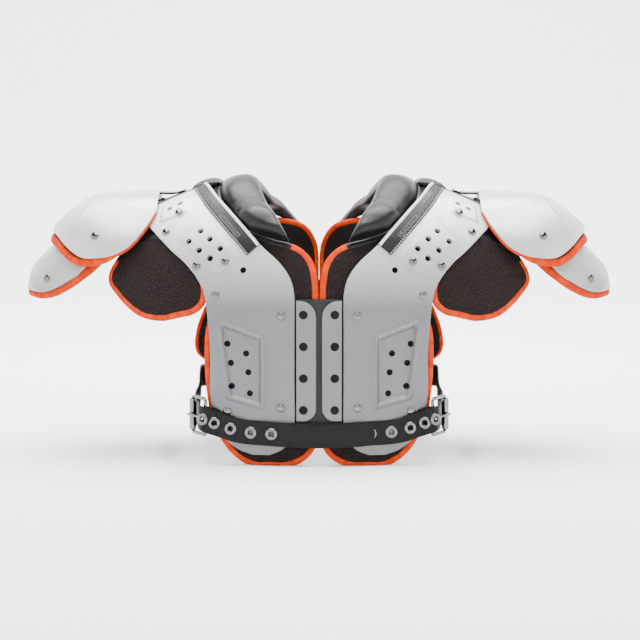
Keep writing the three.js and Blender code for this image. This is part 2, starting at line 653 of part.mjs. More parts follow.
function beltRoute(tip, lift) {
  const seat = BELT_SEAT_GAP + BELT_THICKNESS / 2;
  const overChape = seat + CHAPE_THICKNESS + 3 * SEAT_GAP;
  const loopWallGap = SEAT_GAP + BELT_THICKNESS / 2;
  const rollerGap = 2 * SEAT_GAP + BELT_THICKNESS / 2;
  const front = (x, height, offset) => {
    const point = onForm(FRONT, Math.abs(x), height, offset);
    return new THREE.Vector3(x, point.y, point.z);
  };
  const points = [];
  for (let x = tip; x < BELT_FRONT_END_X; x += BELT_FRONT_STEP) {
    const rise = BELT_CENTRE_Z + (Math.max(0, Math.abs(x) - 10) / 100) ** 1.4 * 7;
    points.push(front(x, rise, seat + lift));
  }
  points.push(front(...BELT_SETTLED, seat + lift * BELT_SETTLED_SHARE));
  points.push(...BELT_FRONT_CLIMB.map(([x, height, play]) => front(x, height, overChape + play)));
  const heel = CHAPE_RING_DIAMETER / 2 + loopWallGap;
  const roller = ROLLER_DIAMETER / 2 + rollerGap;
  const fromHeel = ([x, y, height]) => new THREE.Vector3(BUCKLE_X + x, HEEL_BAR_Y + y, height);
  points.push(...BELT_TO_HEEL.map(([out, along, height]) => byBuckle(out, along, height)));
  points.push(byBuckle(heel + SEAT_GAP, 0.5, BUCKLE_Z));
  points.push(byBuckle(heel - BELT_PAST_HEEL.inward, BELT_PAST_HEEL.along, BUCKLE_Z));
  points.push(byBuckle(BELT_TO_ROLLER.outward - roller, BUCKLE_REACH - BELT_TO_ROLLER.before, BUCKLE_Z));
  points.push(byBuckle(-roller, BUCKLE_REACH, BUCKLE_Z));
  points.push(...BELT_ALONG_SIDE.map(fromHeel));
  points.push(...BELT_TO_BACK.map(([x, y, height]) => new THREE.Vector3(x, FORM_HALF_DEPTH - y, height)));
  const backOffsets = [seat + BACK_LAYER + SEAT_GAP, seat + BACK_LAYER, seat + BACK_LAYER];
  BELT_BACK_CLIMB.forEach(([x, height], index) => points.push(onForm(BACK, x, height, backOffsets[index])));
  return new THREE.CatmullRomCurve3(points, false, 'centripetal');
}

// Stations along the belt, close together where it bends round the buckle
function beltStations(curve) {
  const length = curve.getLength();
  const stations = [];
  let run = 0;
  while (run < length) {
    stations.push(run / length);
    const point = curve.getPointAt(run / length);
    const nearBuckle = point.x > CHAPE_FRONT_X[0] - 5 && point.y < HEEL_BAR_Y + 2 * BUCKLE_REACH;
    run += nearBuckle ? BELT_STEP_AT_BUCKLE : BELT_STEP;
  }
  stations.push(1);
  return stations;
}

function belt(tip, lift) {
  const curve = beltRoute(tip, lift);
  const up = new THREE.Vector3(0, 0, 1);
  const stations = beltStations(curve);
  const rings = stations.map((share, index) => {
    const centre = curve.getPointAt(share);
    const along = curve.getTangentAt(share);
    const wide = up.clone().projectOnPlane(along).normalize();
    const normal = new THREE.Vector3().crossVectors(along, wide).normalize();
    const half = BELT_WIDTH / 2 - (index === 0 ? BELT_TIP_TAPER : 0);
    return [[1, 1], [1, -1], [-1, -1], [-1, 1]].map(([across, out]) => centre.clone()
      .addScaledVector(wide, across * half)
      .addScaledVector(normal, (out * BELT_THICKNESS) / 2));
  });
  return cutAll(ringLoft(rings), [tongueSlot(), ...beltHoles(curve)]);
}

// Holes square to the belt, evenly spaced along it from the first one's place
function beltHoles(curve) {
  const length = curve.getLength();
  let run = 0;
  while (curve.getPointAt(run / length).x < BELT_FIRST_HOLE_X) {
    run += 0.5;
  }
  const cutters = [];
  for (let hole = 0; hole < BELT_HOLES; hole += 1) {
    const share = (run + hole * BELT_HOLE_SPACING) / length;
    const along = curve.getTangentAt(share);
    const through = new THREE.Vector3(along.y, -along.x, 0).normalize();
    cutters.push(peg(curve.getPointAt(share), through, BELT_HOLE_DIAMETER, 3 * BELT_THICKNESS));
  }
  return cutters;
}

function tongueSlot() {
  const height = TONGUE_DIAMETER + 2 * TONGUE_SLOT_PLAY;
  const slot = new THREE.BoxGeometry(TONGUE_SLOT_DEPTH, TONGUE_SLOT_LENGTH, height);
  return setAtBuckle(slot.translate(4, TONGUE_SLOT_LENGTH / 2 - TONGUE_SLOT_PLAY, 0));
}

// Roller buckle, its strap loop, roller and tongue, all about upright bars

function roundedRectangle(width, height, radius) {
  const shape = new THREE.Shape();
  const [x, y] = [width / 2, height / 2];
  shape.moveTo(-x + radius, -y);
  shape.lineTo(x - radius, -y);
  shape.absarc(x - radius, -y + radius, radius, -Math.PI / 2, 0, false);
  shape.lineTo(x, y - radius);
  shape.absarc(x - radius, y - radius, radius, 0, Math.PI / 2, false);
  shape.lineTo(-x + radius, y);
  shape.absarc(-x + radius, y - radius, radius, Math.PI / 2, Math.PI, false);
  shape.lineTo(-x, -y + radius);
  shape.absarc(-x + radius, -y + radius, radius, Math.PI, 1.5 * Math.PI, false);
  return shape;
}

function buckleFrame() {
  const outerLength = BUCKLE_REACH + BUCKLE_WIRE;
  const outerHeight = BUCKLE_OPENING_HEIGHT + 2 * BUCKLE_WIRE;
  const outline = roundedRectangle(outerLength, outerHeight, BUCKLE_CORNER);
  outline.holes.push(roundedRectangle(BUCKLE_REACH - BUCKLE_WIRE, BUCKLE_OPENING_HEIGHT, 1));
  const options = { depth: BUCKLE_WIRE, bevelEnabled: false, curveSegments: 2 };
  const frame = new THREE.ExtrudeGeometry(outline, options);
  frame.translate(0, 0, -BUCKLE_WIRE / 2);
  frame.rotateX(Math.PI / 2);
  frame.rotateZ(Math.PI / 2);
  return setAtBuckle(frame.translate(0, BUCKLE_REACH / 2, 0));
}

function sleeve(outerDiameter, boreDiameter, height, sides) {
  const [outer, bore, half] = [outerDiameter / 2, boreDiameter / 2, height / 2];
  const profile = [[bore, -half], [outer, -half], [outer, half], [bore, half], [bore, -half]];
  const ring = new THREE.LatheGeometry(profile.map(([r, y]) => new THREE.Vector2(r, y)), sides);
  return ring.rotateX(Math.PI / 2);
}

function buckleRoller() {
  const roller = sleeve(ROLLER_DIAMETER, BAR_BORE_DIAMETER, BUCKLE_OPENING_HEIGHT - 2, BAR_SIDES);
  return setAtBuckle(roller.translate(0, BUCKLE_REACH, 0));
}

function buckleTongue() {
  const eye = sleeve(TONGUE_RING_DIAMETER, BAR_BORE_DIAMETER, TONGUE_RING_HEIGHT, BAR_SIDES);
  const rest = ROLLER_DIAMETER / 2 + TONGUE_DIAMETER / 2 + SEAT_GAP;
  const curve = new THREE.CatmullRomCurve3([
    new THREE.Vector3(3.1, 1.6, 0),
    new THREE.Vector3(4.6, 8, 0),
    new THREE.Vector3(rest + 0.2, 18, 0),
    new THREE.Vector3(rest, BUCKLE_REACH + 3, 0),
  ]);
  const section = new THREE.Shape().absarc(0, 0, TONGUE_DIAMETER / 2, 0, 2 * Math.PI, false);
  const options = { steps: 6, curveSegments: 3, extrudePath: curve, bevelEnabled: false };
  const prong = new THREE.ExtrudeGeometry(section, options);
  return setAtBuckle(cutAll(joinAll(eye, [prong]), [heelBore()]));
}

function heelBore() {
  const radius = BAR_BORE_DIAMETER / 2;
  return new THREE.CylinderGeometry(radius, radius, 2 * CHAPE_HEIGHT, BAR_SIDES).rotateX(Math.PI / 2);
}

function buckleStrap() {
  const seat = 2 * SEAT_GAP + CHAPE_THICKNESS / 2;
  const points = CHAPE_FRONT_X.map((x) => onForm(FRONT, x, BUCKLE_Z, seat).setZ(BUCKLE_Z));
  points.push(...CHAPE_TO_HEEL.map(([x, y]) => new THREE.Vector3(BUCKLE_X + x, HEEL_BAR_Y + y, BUCKLE_Z)));
  const curve = new THREE.CatmullRomCurve3(points, false, 'centripetal');
  const rings = [];
  const steps = 10;
  for (let step = 0; step <= steps; step += 1) {
    const centre = curve.getPointAt(step / steps);
    const along = curve.getTangentAt(step / steps);
    const normal = new THREE.Vector3(along.y, -along.x, 0).normalize();
    rings.push([[1, 1], [1, -1], [-1, -1], [-1, 1]].map(([high, out]) => centre.clone()
      .add(new THREE.Vector3(0, 0, (high * CHAPE_HEIGHT) / 2))
      .addScaledVector(normal, (out * CHAPE_THICKNESS) / 2)));
  }
  const loop = setAtBuckle(sleeve(CHAPE_RING_DIAMETER, BAR_BORE_DIAMETER, CHAPE_HEIGHT, BAR_SIDES));
  const tongueRoom = new THREE.BoxGeometry(2 * TONGUE_ROOM, 2 * TONGUE_ROOM, TONGUE_ROOM);
  return cutAll(joinAll(ringLoft(rings), [loop]), [setAtBuckle(heelBore()), setAtBuckle(tongueRoom)]);
}

// Assembly

const product = new THREE.Group();

function add(group, name, geometry, material) {
  const mesh = new THREE.Mesh(geometry, finish(material));
  mesh.name = name;
  group.add(mesh);
}

for (const [side, mirror] of [['left', 1], ['right', -1]]) {
  const half = new THREE.Group();
  half.scale.x = mirror;
  product.add(half);
  add(half, `${side}_front_plate`, bodyPlate(FRONT, FRONT_PLATE_EDGES, PLATE_LAYER), 'plate');
  add(half, `${side}_back_plate`, bodyPlate(BACK, BACK_PLATE_EDGES, BACK_LAYER), 'plate');
  add(half, `${side}_front_body_pad`, bodyPad(FRONT, FRONT_PAD_EDGES, FRONT_PAD_LAYER), 'mesh');
  add(half, `${side}_back_body_pad`, bodyPad(BACK, BACK_PAD_EDGES, BACK_PAD_LAYER), 'mesh');
  add(half, `${side}_arch_pad`, archPad(BACK_PAD_LAYER), 'mesh');
  add(half, `${side}_collar_pad`, collarPad(BACK_PAD_LAYER + SEAT_GAP), 'vinyl');
  add(half, `${side}_neck_pad`, neckRoll(), 'vinyl');
  add(half, `${side}_neck_edge_strip`, neckEdgeStrip(), 'webbing');
  add(half, `${side}_epaulet_strap`, epauletStrap(), 'webbing');
  add(half, `${side}_epaulet_shell`, epauletShell(), 'flap');
  add(half, `${side}_epaulet_pad`, epauletPad(), 'foam');
  add(half, `${side}_cup_strap`, cupStrap(), 'webbing');
  add(half, `${side}_cup_shell`, cupShell(), 'flap');
  add(half, `${side}_cup_pad`, cupPad(), 'foam');
  add(half, `${side}_front_deltoid_pad`, deltoidPad(FRONT, FRONT_DELTOID_LAYER), 'mesh');
  add(half, `${side}_back_deltoid_pad`, deltoidPad(BACK, BACK_DELTOID_LAYER), 'mesh');
  add(half, `${side}_front_bridge_strip`, bridgeStrip(FRONT, BRIDGE_LAYER), 'plate');
  add(half, `${side}_back_bridge_strip`, bridgeStrip(BACK, BRIDGE_LAYER + BACK_LAYER), 'plate');
  add(half, `${side}_buckle_strap`, buckleStrap(), 'webbing');
  add(half, `${side}_buckle_frame`, buckleFrame(), 'steel');
  add(half, `${side}_buckle_roller`, buckleRoller(), 'steel');
  add(half, `${side}_buckle_tongue`, buckleTongue(), 'steel');
  const overlap = BELT_THICKNESS + SEAT_GAP;
  const onTop = side === 'right';
  const tip = onTop ? UPPER_BELT_TIP_X : LOWER_BELT_TIP_X;
  add(half, `${side}_belt`, belt(tip, onTop ? overlap : 0), 'webbing');
}
const backingTop = BRIDGE_BACKING_THICKNESS - PLATE_WALL;
add(product, 'front_bridge_backing', bridgeBacking(FRONT, PLATE_LAYER + backingTop), 'webbing');
add(product, 'back_bridge_backing', bridgeBacking(BACK, BACK_LAYER + backingTop), 'webbing');

// The origin is under the middle of the whole, on the surface that the pads stand on
const whole = new THREE.Box3().setFromObject(product, true);
product.position.y = -(whole.min.y + whole.max.y) / 2;

export default product;
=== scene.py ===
"""Football shoulder pads, dressed for the studio.

The part's frame comes first, then each sub-assembly builds its own finished pieces over it: moulded
plates, sewn cushions with bound edges, neck rolls, domed epaulets and cups, bridges, belts and buckles.
Lengths are in millimetres while a shape is worked out and in metres once it is a mesh.
"""
from __future__ import annotations

import json
import logging
import math
from dataclasses import dataclass, field
from enum import Enum
from typing import Dict, Iterable, List, Optional, Sequence, Tuple, Union

import bpy
import numpy as np
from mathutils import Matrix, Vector

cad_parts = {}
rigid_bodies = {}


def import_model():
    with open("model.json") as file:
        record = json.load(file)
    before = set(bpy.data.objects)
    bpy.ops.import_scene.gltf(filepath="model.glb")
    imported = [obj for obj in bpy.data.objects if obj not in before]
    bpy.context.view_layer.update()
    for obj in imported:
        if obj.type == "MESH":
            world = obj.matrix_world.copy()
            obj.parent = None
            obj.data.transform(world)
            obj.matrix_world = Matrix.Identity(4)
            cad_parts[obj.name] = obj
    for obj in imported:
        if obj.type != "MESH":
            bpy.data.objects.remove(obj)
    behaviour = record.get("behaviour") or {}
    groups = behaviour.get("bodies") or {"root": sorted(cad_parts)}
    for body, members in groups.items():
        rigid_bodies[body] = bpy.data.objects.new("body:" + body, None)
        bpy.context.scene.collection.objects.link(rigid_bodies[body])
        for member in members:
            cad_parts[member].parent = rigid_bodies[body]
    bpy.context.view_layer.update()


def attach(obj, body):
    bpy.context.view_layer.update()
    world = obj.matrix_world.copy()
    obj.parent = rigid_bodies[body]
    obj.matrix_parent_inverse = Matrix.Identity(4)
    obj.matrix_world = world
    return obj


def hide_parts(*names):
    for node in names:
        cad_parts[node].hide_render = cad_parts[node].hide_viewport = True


log = logging.getLogger("shoulder_pads")

Array = np.ndarray
Flat = Tuple[float, float]
Value = Union[float, bpy.types.NodeSocket]

MM = 0.001
FRAME_SHIFT_Y = 3.6796
BACK_LAYER = -3.3
PLATE_THICKNESS = 3.0
BACKING_GAP = 0.3
RIVET_SIZES = {"Head Radius": 0.0046, "Head Height": 0.0018}
SCREW_SIZES = {"Head Radius": 0.0046, "Head Height": 0.0019}
EYELET_SIZES = {"Ring Radius": 0.0046, "Wire Radius": 0.0020}
RIVET_LIFT = 0.7


class Side(Enum):
    """The wearer's side that a piece is on, with the sign of x there."""

    LEFT = ("left", 1.0)
    RIGHT = ("right", -1.0)

    @property
    def word(self) -> str:
        """The side's word in node and body names."""
        return self.value[0]

    @property
    def sign(self) -> float:
        """The sign of x on this side."""
        return self.value[1]


class Face(Enum):
    """The face of the torso form that a piece lies on, with the sign of y there."""

    FRONT = ("front", -1.0)
    BACK = ("back", 1.0)

    @property
    def word(self) -> str:
        """The face's word in node names."""
        return self.value[0]

    @property
    def sign(self) -> float:
        """The sign of y on this face."""
        return self.value[1]


# ---------------------------------------------------------------- curves and surfaces


def spline(points: Sequence[Sequence[float]], share: Array) -> Array:
    """Reads a smooth curve through points at even shares of its points.

    Args:
        points: The points that the curve goes through.
        share: Where to read it, from 0 to 1.

    Returns:
        One point for each share.
    """
    knots = np.asarray(points, float)
    last = len(knots) - 1
    place = np.clip(np.asarray(share, float), 0.0, 1.0) * last
    index = np.minimum(np.floor(place).astype(int), last - 1)
    part = (place - index)[..., None]
    p0, p1 = knots[np.maximum(index - 1, 0)], knots[index]
    p2, p3 = knots[index + 1], knots[np.minimum(index + 2, last)]
    v0, v1 = (p2 - p0) / 2, (p3 - p1) / 2
    return ((2 * p1 - 2 * p2 + v0 + v1) * part ** 3 + (-3 * p1 + 3 * p2 - 2 * v0 - v1) * part ** 2
            + v0 * part + p1)


def centripetal(points: Sequence[Sequence[float]], per_span: int) -> Array:
    """Draws a curve through points in space that doesn't loop at close points.

    Args:
        points: The points that the curve goes through.
        per_span: How many points are read between two of them.

    Returns:
        The curve's points, in order.
    """
    knots = np.asarray(points, float)
    knots = np.vstack([2 * knots[0] - knots[1], knots, 2 * knots[-1] - knots[-2]])
    curve = []
    for p0, p1, p2, p3 in zip(knots, knots[1:], knots[2:], knots[3:]):
        d0, d1, d2 = (max(1e-4, np.linalg.norm(b - a) ** 0.5) for a, b in ((p0, p1), (p1, p2), (p2, p3)))
        t1 = ((p1 - p0) / d0 - (p2 - p0) / (d0 + d1) + (p2 - p1) / d1) * d1
        t2 = ((p2 - p1) / d1 - (p3 - p1) / (d1 + d2) + (p3 - p2) / d2) * d1
        for step in range(per_span):
            t = step / per_span
            curve.append((2 * t ** 3 - 3 * t ** 2 + 1) * p1 + (t ** 3 - 2 * t ** 2 + t) * t1
                         + (3 * t ** 2 - 2 * t ** 3) * p2 + (t ** 3 - t ** 2) * t2)
    curve.append(knots[-2])
    return np.asarray(curve)


def resample(path: Array, spacing: float, closed: bool = False) -> Array:
    """Spaces the points of a path evenly.

    Args:
        path: The path's points.
        spacing: The wanted distance between points.
        closed: Whether the last point joins the first.

    Returns:
        The evenly spaced points, without the repeated end where the path is closed.
    """
    line = np.vstack([path, path[:1]]) if closed else path
    run = np.concatenate([[0.0], np.cumsum(np.linalg.norm(np.diff(line, axis=0), axis=1))])
    count = max(3, int(round(run[-1] / spacing)))
    marks = np.linspace(0.0, run[-1], count + 1)
    if closed:
        marks = marks[:-1]
    return np.stack([np.interp(marks, run, line[:, axis]) for axis in range(line.shape[1])], axis=1)


def softened(path: Array, passes: int, closed: bool) -> Array:
    """Rounds the corners of a path by averaging neighbours.

    Args:
        path: The path's points.
        passes: How many times the points are averaged.
        closed: Whether the last point joins the first.

    Returns:
        The rounded path, with its ends kept where it is open.
    """
    points = path.copy()
    for _ in range(passes):
        before, after = np.roll(points, 1, axis=0), np.roll(points, -1, axis=0)
        mean = (before + after + 2 * points) / 4
        if not closed:
            mean[0], mean[-1] = points[0], points[-1]
        points = mean
    return points


def unit(vectors: Array) -> Array:
    """Scales vectors to length one."""
    return vectors / np.maximum(np.linalg.norm(vectors, axis=-1, keepdims=True), 1e-9)


def smooth_step(low: float, high: float, value: Array) -> Array:
    """Rises smoothly from 0 at low to 1 at high."""
    part = np.clip((value - low) / (high - low), 0.0, 1.0)
    return part * part * (3 - 2 * part)


def polygon_distance(points: Array, corners: Sequence[Flat]) -> Array:
    """Distance from flat points to a polygon's outline.

    Args:
        points: Flat points, as an array whose last axis is two long.
        corners: The polygon's corners in order.

    Returns:
        The distances, below zero inside.
    """
    corner = np.asarray(corners, float)
    distance = np.full(points.shape[:-1], 1e9)
    inside = np.zeros(points.shape[:-1], bool)
    for start, end in zip(corner, np.roll(corner, -1, axis=0)):
        edge, to_point = end - start, points - start
        part = np.clip((to_point @ edge) / (edge @ edge), 0, 1)
        distance = np.minimum(distance, np.linalg.norm(to_point - part[..., None] * edge, axis=-1))
        crosses = (points[..., 1] < start[1]) != (points[..., 1] < end[1])
        slope = edge[0] / edge[1] if abs(edge[1]) > 1e-9 else 0.0
        inside ^= crosses & (points[..., 0] < start[0] + slope * (points[..., 1] - start[1]))
    return np.where(inside, -distance, distance)


@dataclass(frozen=True)
class BodyForm:
    """The form of a chest and shoulders that plates and cushions are moulded over."""

    half_width: float = 263.0
    half_depth: float = 134.0
    shoulder_z: float = 177.0
    crown_rise: float = 127.0
    arc_radius: float = 130.5

    def at(self, face: float, x: Array, height: Array, offset: Array) -> Array:
        """Finds points off the form.

        Args:
            face: -1 for the front, 1 for the back.
            x: Distance from the middle plane.
            height: Height up the wall, then arc length over the crown.
            offset: Distance outwards from the form.

        Returns:
            The points in the half frame.
        """
        x, height, offset = np.broadcast_arrays(x, height, offset)
        narrowing = np.sqrt(1 - (x / self.half_width) ** 2)
        angle = np.maximum(0.0, height - self.shoulder_z) / self.arc_radius
        y = face * self.half_depth * narrowing * np.cos(angle)
        rise = self.crown_rise * narrowing * np.sin(angle)
        z = np.minimum(height, self.shoulder_z) + rise
        normal = unit(np.stack([x / self.half_width ** 2, y / self.half_depth ** 2,
                                rise / self.crown_rise ** 2], axis=-1))
        return np.stack([x, y, z], axis=-1) + normal * offset[..., None]

    def out(self, face: float, x: Array, height: Array) -> Array:
        """The direction out of the form at points of it."""
        return unit(self.at(face, x, height, 1.0) - self.at(face, x, height, 0.0))

    @property
    def crest(self) -> float:
        """The height at which the form is highest."""
        return self.shoulder_z + self.arc_radius * math.pi / 2


FORM = BodyForm()


@dataclass(frozen=True)
class FormPatch:
    """A piece of the body form between an inner and an outer edge."""

    face: Face
    inner: Tuple[Flat, ...]
    outer: Tuple[Flat, ...]

    def flat(self, along: Array, across: Array) -> Array:
        """Gives [x, height] for shares along and across the patch."""
        start, end = spline(self.inner, along), spline(self.outer, along)
        return start + (end - start) * np.asarray(across)[..., None]

    def at(self, along: Array, across: Array, offset: Array) -> Array:
        """Gives the points of the patch at an offset from the form.

        Args:
            along: Shares along the patch.
            across: Shares across the patch.
            offset: Distance outwards from the surface.

        Returns:
            The points in the half frame.
        """
        along, across, offset = np.broadcast_arrays(along, across, offset)
        place = self.flat(along, across)
        return FORM.at(self.face.sign, place[..., 0], place[..., 1], offset)


@dataclass(frozen=True)
class EpauletDome:
    """The ellipsoid of the epaulet: rows run outwards from the hinge, columns from front to back."""

    rim: Tuple[Flat, ...]
    centre_x: float = 191.0
    centre_z: float = 199.7
    radii: Tuple[float, float, float] = (109.8, 90.7, 81.2)

    def at(self, along: Array, across: Array, offset: Array) -> Array:
        """Gives the dome's points for shares along and across the flap.

        Args:
            along: Shares along the patch.
            across: Shares across the patch.
            offset: Distance outwards from the surface.

        Returns:
            The points in the half frame.
        """
        along, across, offset = np.broadcast_arrays(along, across, offset)
        station = spline(self.rim, along)
        x, angle = station[..., 0], np.radians(station[..., 1]) * (2 * across - 1)
        rx, ry, rz = self.radii
        narrowing = np.sqrt(np.maximum(0.0, 1 - ((x - self.centre_x) / rx) ** 2))
        y, rise = -ry * narrowing * np.sin(angle), rz * narrowing * np.cos(angle)
        normal = unit(np.stack([(x - self.centre_x) / rx ** 2, y / ry ** 2, rise / rz ** 2], axis=-1))
        return np.stack([x, y, self.centre_z + rise], axis=-1) + normal * offset[..., None]


@dataclass(frozen=True)
class CupDome:
    """The ellipsoid of the shoulder cup: rows run down from the top edge, columns from front to back."""

    rim: Tuple[Flat, ...]
    centre_x: float = 205.3
    centre_z: float = 161.9
    radii: Tuple[float, float, float] = (113.2, 81.2, 86.0)

    def at(self, along: Array, across: Array, offset: Array) -> Array:
        """Gives the dome's points for shares along and across the flap.

        Args:
            along: Shares along the patch.
            across: Shares across the patch.
            offset: Distance outwards from the surface.

        Returns:
            The points in the half frame.
        """
        along, across, offset = np.broadcast_arrays(along, across, offset)
        station = spline(self.rim, along)
        sweep, angle = np.radians(station[..., 0]), np.radians(station[..., 1]) * (2 * across - 1)
        rx, ry, rz = self.radii
        reach, rise, side = np.sin(sweep) * np.cos(angle), np.cos(sweep) * np.cos(angle), -np.sin(angle)
        normal = unit(np.stack([reach / rx, side / ry, rise / rz], axis=-1))
        point = np.stack([self.centre_x + rx * reach, ry * side, self.centre_z + rz * rise], axis=-1)
        return point + normal * offset[..., None]


Dome = Union[EpauletDome, CupDome]
Patch = Union[FormPatch, EpauletDome, CupDome]


# ---------------------------------------------------------------- meshes


def to_frame(points: Array, side: Side) -> Array:
    """Moves half-frame millimetres into the part's frame in metres.

    Args:
        points: Points in the half frame.
        side: The wearer's side.

    Returns:
        The points of that side.
    """
    moved = np.array(points, float)
    moved[..., 0] *= side.sign
    moved[..., 1] += FRAME_SHIFT_Y
    return moved * MM


@dataclass
class Shell:
    """A closed mesh in the half frame: its points, faces and the lengths along and across for each point."""

    points: Array
    faces: List[Tuple[int, ...]]
    lengths: Array
    marks: List[int] = field(default_factory=list)

    def volume(self) -> float:
        """The signed volume that the faces close.

        Returns:
            Six times the volume, above zero where the faces point outwards.
        """
        triangles = [(ring[0], i, j) for ring in self.faces for i, j in zip(ring[1:], ring[2:])]
        a, b, c = (self.points[column] for column in np.array(triangles).T)
        return float(np.sum(a * np.cross(b, c)))

    def build(self, name: str, side: Side) -> bpy.types.Object:
        """Makes the Blender object of one side, with smooth faces that point outwards.

        Args:
            name: The object's name.
            side: The wearer's side.

        Returns:
            The object, at the origin and linked to the scene.
        """
        outwards = (self.volume() > 0) == (side.sign > 0)
        faces = self.faces if outwards else [tuple(reversed(ring)) for ring in self.faces]
        mesh = bpy.data.meshes.new(name)
        mesh.from_pydata(to_frame(self.points, side).tolist(), [], faces)
        uv = mesh.uv_layers.new(name="weave")
        corner = np.empty(len(mesh.loops), np.int32)
        mesh.loops.foreach_get("vertex_index", corner)
        uv.data.foreach_set("uv", (self.lengths[corner] * MM).astype(np.float32).ravel())
        mesh.polygons.foreach_set("use_smooth", np.ones(len(mesh.polygons), bool))
        if self.marks:
            mesh.polygons.foreach_set("material_index", np.asarray(self.marks, np.int32))
        mesh.update()
        obj = bpy.data.objects.new(name, mesh)
        bpy.context.scene.collection.objects.link(obj)
        return obj


def run_lengths(grid: Array) -> Array:
    """Lengths across and along a grid of points, for weaves that follow it.

    Args:
        grid: Rows by columns by three.

    Returns:
        Rows by columns by two.
    """
    rows, columns = grid.shape[:2]
    across = np.zeros((rows, columns))
    across[:, 1:] = np.cumsum(np.linalg.norm(np.diff(grid, axis=1), axis=2), axis=1)
    across -= across[:, columns // 2][:, None]
    along = np.zeros((rows, columns))
    middle = grid[:, columns // 2]
    along[1:] = np.cumsum(np.linalg.norm(np.diff(middle, axis=0), axis=1))[:, None]
    return np.stack([across, along], axis=-1)


def wall(outer: Array, inner: Array) -> Shell:
    """Closes two grids of points into a wall.

    Args:
        outer: The outer grid, rows by columns by three.
        inner: The inner grid of the same size.

    Returns:
        The closed shell, with its outer faces first.
    """
    rows, columns = outer.shape[:2]
    offset = rows * columns

    def at(row: int, column: int, layer: int) -> int:
        """The number of a point of the wall."""
        return layer * offset + row * columns + column

    faces: List[Tuple[int, ...]] = []
    for row in range(rows - 1):
        for column in range(columns - 1):
            faces.append((at(row, column, 0), at(row, column + 1, 0), at(row + 1, column + 1, 0),
                          at(row + 1, column, 0)))
            faces.append((at(row, column, 1), at(row + 1, column, 1), at(row + 1, column + 1, 1),
                          at(row, column + 1, 1)))
    last = columns - 1
    for row in range(rows - 1):
        faces.append((at(row, 0, 1), at(row, 0, 0), at(row + 1, 0, 0), at(row + 1, 0, 1)))
        faces.append((at(row, last, 0), at(row, last, 1), at(row + 1, last, 1), at(row + 1, last, 0)))
    end = rows - 1
    for column in range(columns - 1):
        faces.append((at(0, column, 0), at(0, column, 1), at(0, column + 1, 1), at(0, column + 1, 0)))
        faces.append((at(end, column, 1), at(end, column, 0), at(end, column + 1, 0),
                      at(end, column + 1, 1)))
    lengths = run_lengths(outer).reshape(-1, 2)
    points = np.concatenate([outer.reshape(-1, 3), inner.reshape(-1, 3)])
    return Shell(points, faces, np.concatenate([lengths, lengths]))


def loft(rings: Array, closed: bool = False) -> Shell:
    """Joins rings of points along a path.

    Args:
        rings: Rings by points by three.
        closed: Whether the last ring joins the first, or both are capped.

    Returns:
        The closed shell.
    """
    count, sides = rings.shape[:2]
    faces: List[Tuple[int, ...]] = []
    for ring in range(count if closed else count - 1):
        after = (ring + 1) % count
        for point in range(sides):
            near = (point + 1) % sides
            faces.append((ring * sides + point, ring * sides + near, after * sides + near,
                          after * sides + point))
    if not closed:
        faces.append(tuple(reversed(range(sides))))
        faces.append(tuple((count - 1) * sides + point for point in range(sides)))
    centre = rings.mean(axis=1)
    run = np.concatenate([[0.0], np.cumsum(np.linalg.norm(np.diff(centre, axis=0), axis=1))])
    girth = np.linalg.norm(rings[0] - np.roll(rings[0], 1, axis=0), axis=1).cumsum()
    lengths = np.stack(np.broadcast_arrays(girth[None, :], run[:, None]), axis=-1).reshape(-1, 2)
    return Shell(rings.reshape(-1, 3), faces, lengths)


def tube(path: Array, normals: Array, half_wide: Array, half_thick: Array, closed: bool,
         sides: int = 12, squareness: float = 2.0) -> Shell:
    """Sweeps a rounded section along a path.

    Args:
        path: The centre line.
        normals: The direction of the section's thickness at each point.
        half_wide: Half width at each point, or one value.
        half_thick: Half thickness at each point, or one value.
        closed: Whether the path closes on itself.
        sides: Points in the section.
        squareness: 2 for an ellipse, more for a squarer section.

    Returns:
        The swept shell.
    """
    after, before = np.roll(path, -1, axis=0), np.roll(path, 1, axis=0)
    if not closed:
        after[-1], before[0] = path[-1], path[0]
    tangent = unit(after - before)
    normal = unit(normals - tangent * np.sum(normals * tangent, axis=1, keepdims=True))
    wide = np.cross(tangent, normal)
    half_wide = np.broadcast_to(half_wide, len(path))[:, None, None]
    half_thick = np.broadcast_to(half_thick, len(path))[:, None, None]
    angle = np.arange(sides) * 2 * np.pi / sides
    power = 2.0 / squareness
    cos = np.sign(np.cos(angle)) * np.abs(np.cos(angle)) ** power
    sin = np.sign(np.sin(angle)) * np.abs(np.sin(angle)) ** power
    rings = (path[:, None, :] + wide[:, None, :] * (cos[None, :, None] * half_wide)
             + normal[:, None, :] * (sin[None, :, None] * half_thick))
    return loft(rings, closed)


def crease_sharply(obj: bpy.types.Object, degrees: float) -> None:
    """Marks the edges that turn more than an angle as sharp."""
    obj.data.set_sharp_from_angle(angle=math.radians(degrees))


def cut_through(obj: bpy.types.Object, cutters: Sequence[bpy.types.Object]) -> None:
    """Cuts holes in an object and removes the cutters.

    Args:
        obj: The object to cut.
        cutters: Closed objects whose space is taken away.
    """
    group = bpy.data.collections.new("cutters")
    for cutter in cutters:
        for owner in cutter.users_collection:
            owner.objects.unlink(cutter)
        group.objects.link(cutter)
    modifier = obj.modifiers.new("holes", "BOOLEAN")
    modifier.operation = "DIFFERENCE"
    modifier.operand_type = "COLLECTION"
    modifier.collection = group
    modifier.solver = "EXACT"
    graph = bpy.context.evaluated_depsgraph_get()
    mesh = bpy.data.meshes.new_from_object(obj.evaluated_get(graph))
    obj.modifiers.remove(modifier)
    old, obj.data = obj.data, mesh
    bpy.data.meshes.remove(old)
    for cutter in list(group.objects):
        bpy.data.objects.remove(cutter)
    bpy.data.collections.remove(group)


